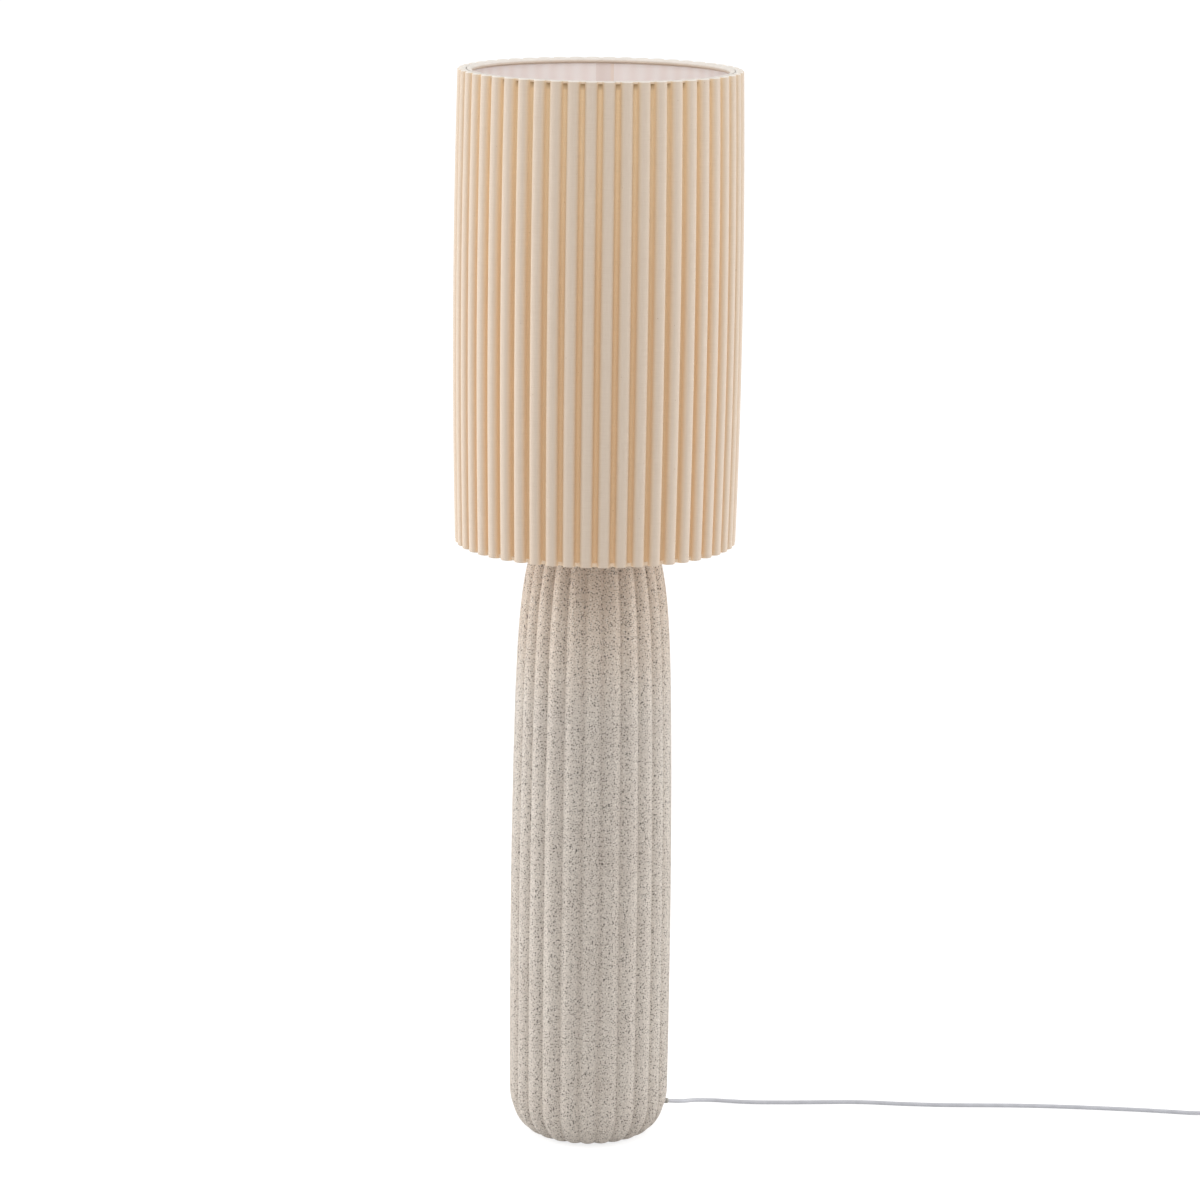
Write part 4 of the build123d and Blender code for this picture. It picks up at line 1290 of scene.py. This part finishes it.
            # Share of the turned-in leg's deeper tone, partly painted shade under the fold.
            vert[under] = ease(*self.under_span, way * (edge - vert.co.z))
            turn = math.atan2(vert.co.y, vert.co.x)
            wave = 1.0 - self.hem_wave / self.hem_r * (1.0 + math.sin(self.pleats * turn))
            vert.co.x *= wave
            vert.co.y *= wave
        node = f"{end.name.lower()}_hem"
        piece = mesh_piece(f"{node}_tape", bm, sharp_degrees=50.0)
        if end is End.BOTTOM:
            cut_away(piece, self.notches())
        return settle(piece, TAPE, Body.SHADE, [node])

    def notches(self) -> bpy.types.Object:
        """Return the three blocks that let the wire arms through the lower hem."""
        bm = bmesh.new()
        for angle in self.arm_angles:
            block = bmesh.ops.create_cube(bm, size=1.0)["verts"]
            bmesh.ops.scale(bm, vec=(3.0 * self.hem_round, self.notch, 2.0 * self.hem_depth), verts=block)
            place = Matrix.Translation((self.hem_r, 0.0, self.low + self.hem_depth + self.hem_thick))
            turn = Matrix.Rotation(math.radians(angle), 4, "Z")
            bmesh.ops.transform(bm, matrix=turn @ place, verts=block)
        return mesh_piece("notch_blocks", bm)


@dataclass
class Bulb:
    """Opal bulb with a rolled screw cap."""

    globe_wall: float = 1.2 * MM
    globe_steps: int = 30
    collar_foot: float = 0.3 * MM
    collar_rim: float = 1.5 * MM
    collar_swell: float = 1.2
    collar_rows: int = 16
    thread_pitch: float = 3.63 * MM
    thread_depth: float = 0.32 * MM
    thread_rows: int = 60
    steps: int = 96

    def build(self) -> None:
        """Make the globe, the collar and the screw cap."""
        self.globe()
        self.collar()
        self.cap()

    def globe(self) -> None:
        """Turn the opal globe."""
        low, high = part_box("bulb_globe")
        radius = high.x
        centre = high.z - radius
        start = math.degrees(math.asin((low.z - centre) / radius))
        outline = arc((0.0, centre), radius, start, 90.0, self.globe_steps)
        outline += arc((0.0, centre), radius - self.globe_wall, 90.0, start, self.globe_steps)
        piece = mesh_piece("opal_globe", turned(outline, self.steps, True))
        settle(piece, OPAL, Body.BULB, ["bulb_globe"])

    def collar(self) -> None:
        """Turn the moulded collar that widens from the cap to the globe."""
        low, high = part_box("bulb_collar")
        foot_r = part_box("bulb_cap")[1].x + self.collar_foot
        wall = [(foot_r + (high.x - foot_r) * math.sin(share * math.pi / 2.0) ** self.collar_swell,
                 low.z + (high.z - low.z) * share) for share in shares(self.collar_rows)]
        outline = [(0.0, low.z), *wall, (high.x - self.collar_rim, high.z), (0.0, high.z)]
        piece = mesh_piece("bulb_neck", turned(outline, self.steps, False))
        settle(piece, WHITE_PLASTIC, Body.BULB, ["bulb_collar"])

    def cap(self) -> None:
        """Turn the cap and roll its thread."""
        low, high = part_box("bulb_cap")
        radius = high.x - self.thread_depth
        wall = [(radius, low.z + (high.z - low.z) * share) for share in shares(self.thread_rows)]
        bm = turned([(0.0, low.z), *wall, (0.0, high.z)], self.steps, False)
        for vert in bm.verts:
            if math.hypot(vert.co.x, vert.co.y) < 0.5 * radius:
                continue
            turn = math.atan2(vert.co.y, vert.co.x)
            room = min(vert.co.z - low.z, high.z - vert.co.z)
            fade = ease(0.0, self.thread_pitch, room)
            wave = math.sin(FULL_TURN * vert.co.z / self.thread_pitch - turn)
            scale = 1.0 + fade * self.thread_depth * wave / radius
            vert.co.x *= scale
            vert.co.y *= scale
        settle(mesh_piece("rolled_cap", bm), STEEL, Body.BULB, ["bulb_cap"])


@dataclass
class Cords:
    """White lead: inside the body, along the floor, and coiled past the switch.

    radius is in metres and the sizes of the routes are in millimetres.
    """

    radius: float = 2.6 * MM
    coil_x: float = 984.0
    coil_y: float = 112.5
    coil_z: float = 3.4
    coil_r: float = 22.0
    turn_step: float = 5.7
    layer_step: float = 5.7
    half_turns: int = 3
    turn_points: int = 16
    hang_top: float = 800.0
    hang_drop: float = 66.0
    hang_steps: int = 10
    sway: float = 7.0
    sway_turn: float = 75.0

    def build(self) -> None:
        """Lay the three stretches."""
        self.floor_run()
        self.spare()
        self.inner()

    def strand(self, name: str, route: list[Point]) -> bpy.types.Object:
        """Lay one round cord along a smooth line.

        Args:
            name: Name of the piece.
            route: Control points in millimetres.

        Returns:
            The cord's piece.
        """
        curve = bpy.data.curves.new(name, "CURVE")
        curve.dimensions = "3D"
        curve.bevel_depth = self.radius
        curve.bevel_resolution = 6
        curve.resolution_u = 8
        curve.use_fill_caps = True
        spline = curve.splines.new("NURBS")
        spline.points.add(len(route) - 1)
        for knot, place in zip(spline.points, route):
            knot.co = (*[MM * part for part in place], 1.0)
        spline.order_u = 3
        spline.use_endpoint_u = True
        return put(name, curve)

    def floor_run(self) -> None:
        """Lay the lead from the gland along the floor to the switch."""
        route = [(102.40, 59.12, 17.59), (119.34, 68.90, 13.44), (138.0, 88.0, 9.3), (165.0, 101.0, 5.0),
                 (204.0, 101.2, 2.7), (250.0, 101.9, 2.6), (300.0, 104.8, 2.6), (354.0, 108.6, 2.6),
                 (408.0, 102.3, 2.6), (464.0, 99.3, 2.6), (520.0, 100.9, 2.6), (578.0, 101.5, 2.6),
                 (634.0, 98.3, 2.6), (690.0, 93.3, 2.6), (744.0, 87.0, 2.6), (796.0, 77.6, 2.8),
                 (828.0, 73.4, 7.0), (850.0, 73.4, 7.0)]
        piece = self.strand("floor_lead", route)
        settle(piece, SHEATH, Body.BASE, ["cord_run"])

    def coil_point(self, turns: float) -> Point:
        """Return one point of the coil, which spirals in, climbs a layer and spirals out."""
        radius = self.coil_r + self.turn_step * abs(turns - self.half_turns)
        angle = FULL_TURN * turns - math.pi / 2.0
        climb = min(1.0, max(0.0, 2.0 * (turns - self.half_turns) + 0.5))
        height = self.coil_z + self.layer_step * (1.0 - math.cos(math.pi * climb)) / 2.0
        return (self.coil_x + radius * math.cos(angle), self.coil_y + radius * math.sin(angle), height)

    def spare(self) -> None:
        """Coil the spare length between the switch and the plug."""
        steps = 2 * self.half_turns * self.turn_points
        route = [(948.0, 73.4, 7.0), (957.0, 73.4, 6.6), (968.0, 73.4, 3.8), (979.0, 73.4, 3.4)]
        route += [self.coil_point(step / self.turn_points) for step in range(steps + 1)]
        route += [(994.0, 73.0, 9.0), (1005.0, 66.0, 7.6), (1014.0, 63.4, 6.85), (1025.2, 63.4, 6.85)]
        piece = self.strand("spare_lead", route)
        settle(piece, SHEATH, Body.BASE, ["plug_lead", "cord_coil"])

    def inner(self) -> None:
        """Hang the lead inside the body, from the holder down to the gland."""
        route = [(0.0, 0.0, 861.0), (0.0, 0.0, self.hang_top)]
        for step in range(1, self.hang_steps + 1):
            angle = math.radians(self.sway_turn * step)
            height = self.hang_top - self.hang_drop * step
            route.append((self.sway * math.cos(angle), self.sway * math.sin(angle), height))
        route += [(-12.99, -7.5, 86.0), (8.66, 5.0, 54.0), (44.37, 25.62, 31.84), (66.39, 38.33, 26.43)]
        piece = self.strand("inner_lead", route)
        settle(piece, SHEATH, Body.BASE, ["inner_cord"])


@dataclass
class Fittings:
    """Carried-over solids: holder, rings, frame, switch, plug and the parts under the foot."""

    def build(self) -> None:
        """Put a finish on each carried-over solid."""
        for finish, names in self.finishes().items():
            for name in names:
                dress(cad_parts[name], finish)
                log.info("%s gets %s", name, finish.name)

    def finishes(self) -> dict[Finish, list[str]]:
        """Return the solids that each finish dresses."""
        return {
            WHITE_PLASTIC: ["holder_cap", "holder_skirt", "holder_insert", "lower_shade_ring",
                            "upper_shade_ring", "switch_base", "switch_cover", "switch_module",
                            "switch_plunger", "switch_bushes", "plug_bush", "plug_body", "coil_tie"],
            BUTTON_PLASTIC: ["switch_button"],
            WHITE_WIRE: ["shade_carrier", "top_ring"],
            SHADED_GLAND_PLASTIC: ["cord_gland", "gland_nut"],
            BRASS: ["lamp_nipple", "inner_nut", "centre_contact", "terminal_screws", "screw_shell",
                    "plug_pins"],
            STEEL: ["inner_washer", "top_cap", "switch_screws", "bulb_contact"],
            BLACK_GLASS: ["bulb_insulator"],
            FELT: ["felt_pad"],
            BOARD: ["bottom_board"],
            RUBBER: ["switch_feet"],
        }


def main() -> None:
    """Build the studio and the lamp, piece by piece."""
    logging.basicConfig(level=logging.INFO, format="%(name)s: %(message)s")
    for part in (Studio(), Cords(), FlutedBody(), PleatedShade(), Bulb(), Fittings()):
        part.build()


if __name__ == "__main__":
    main()
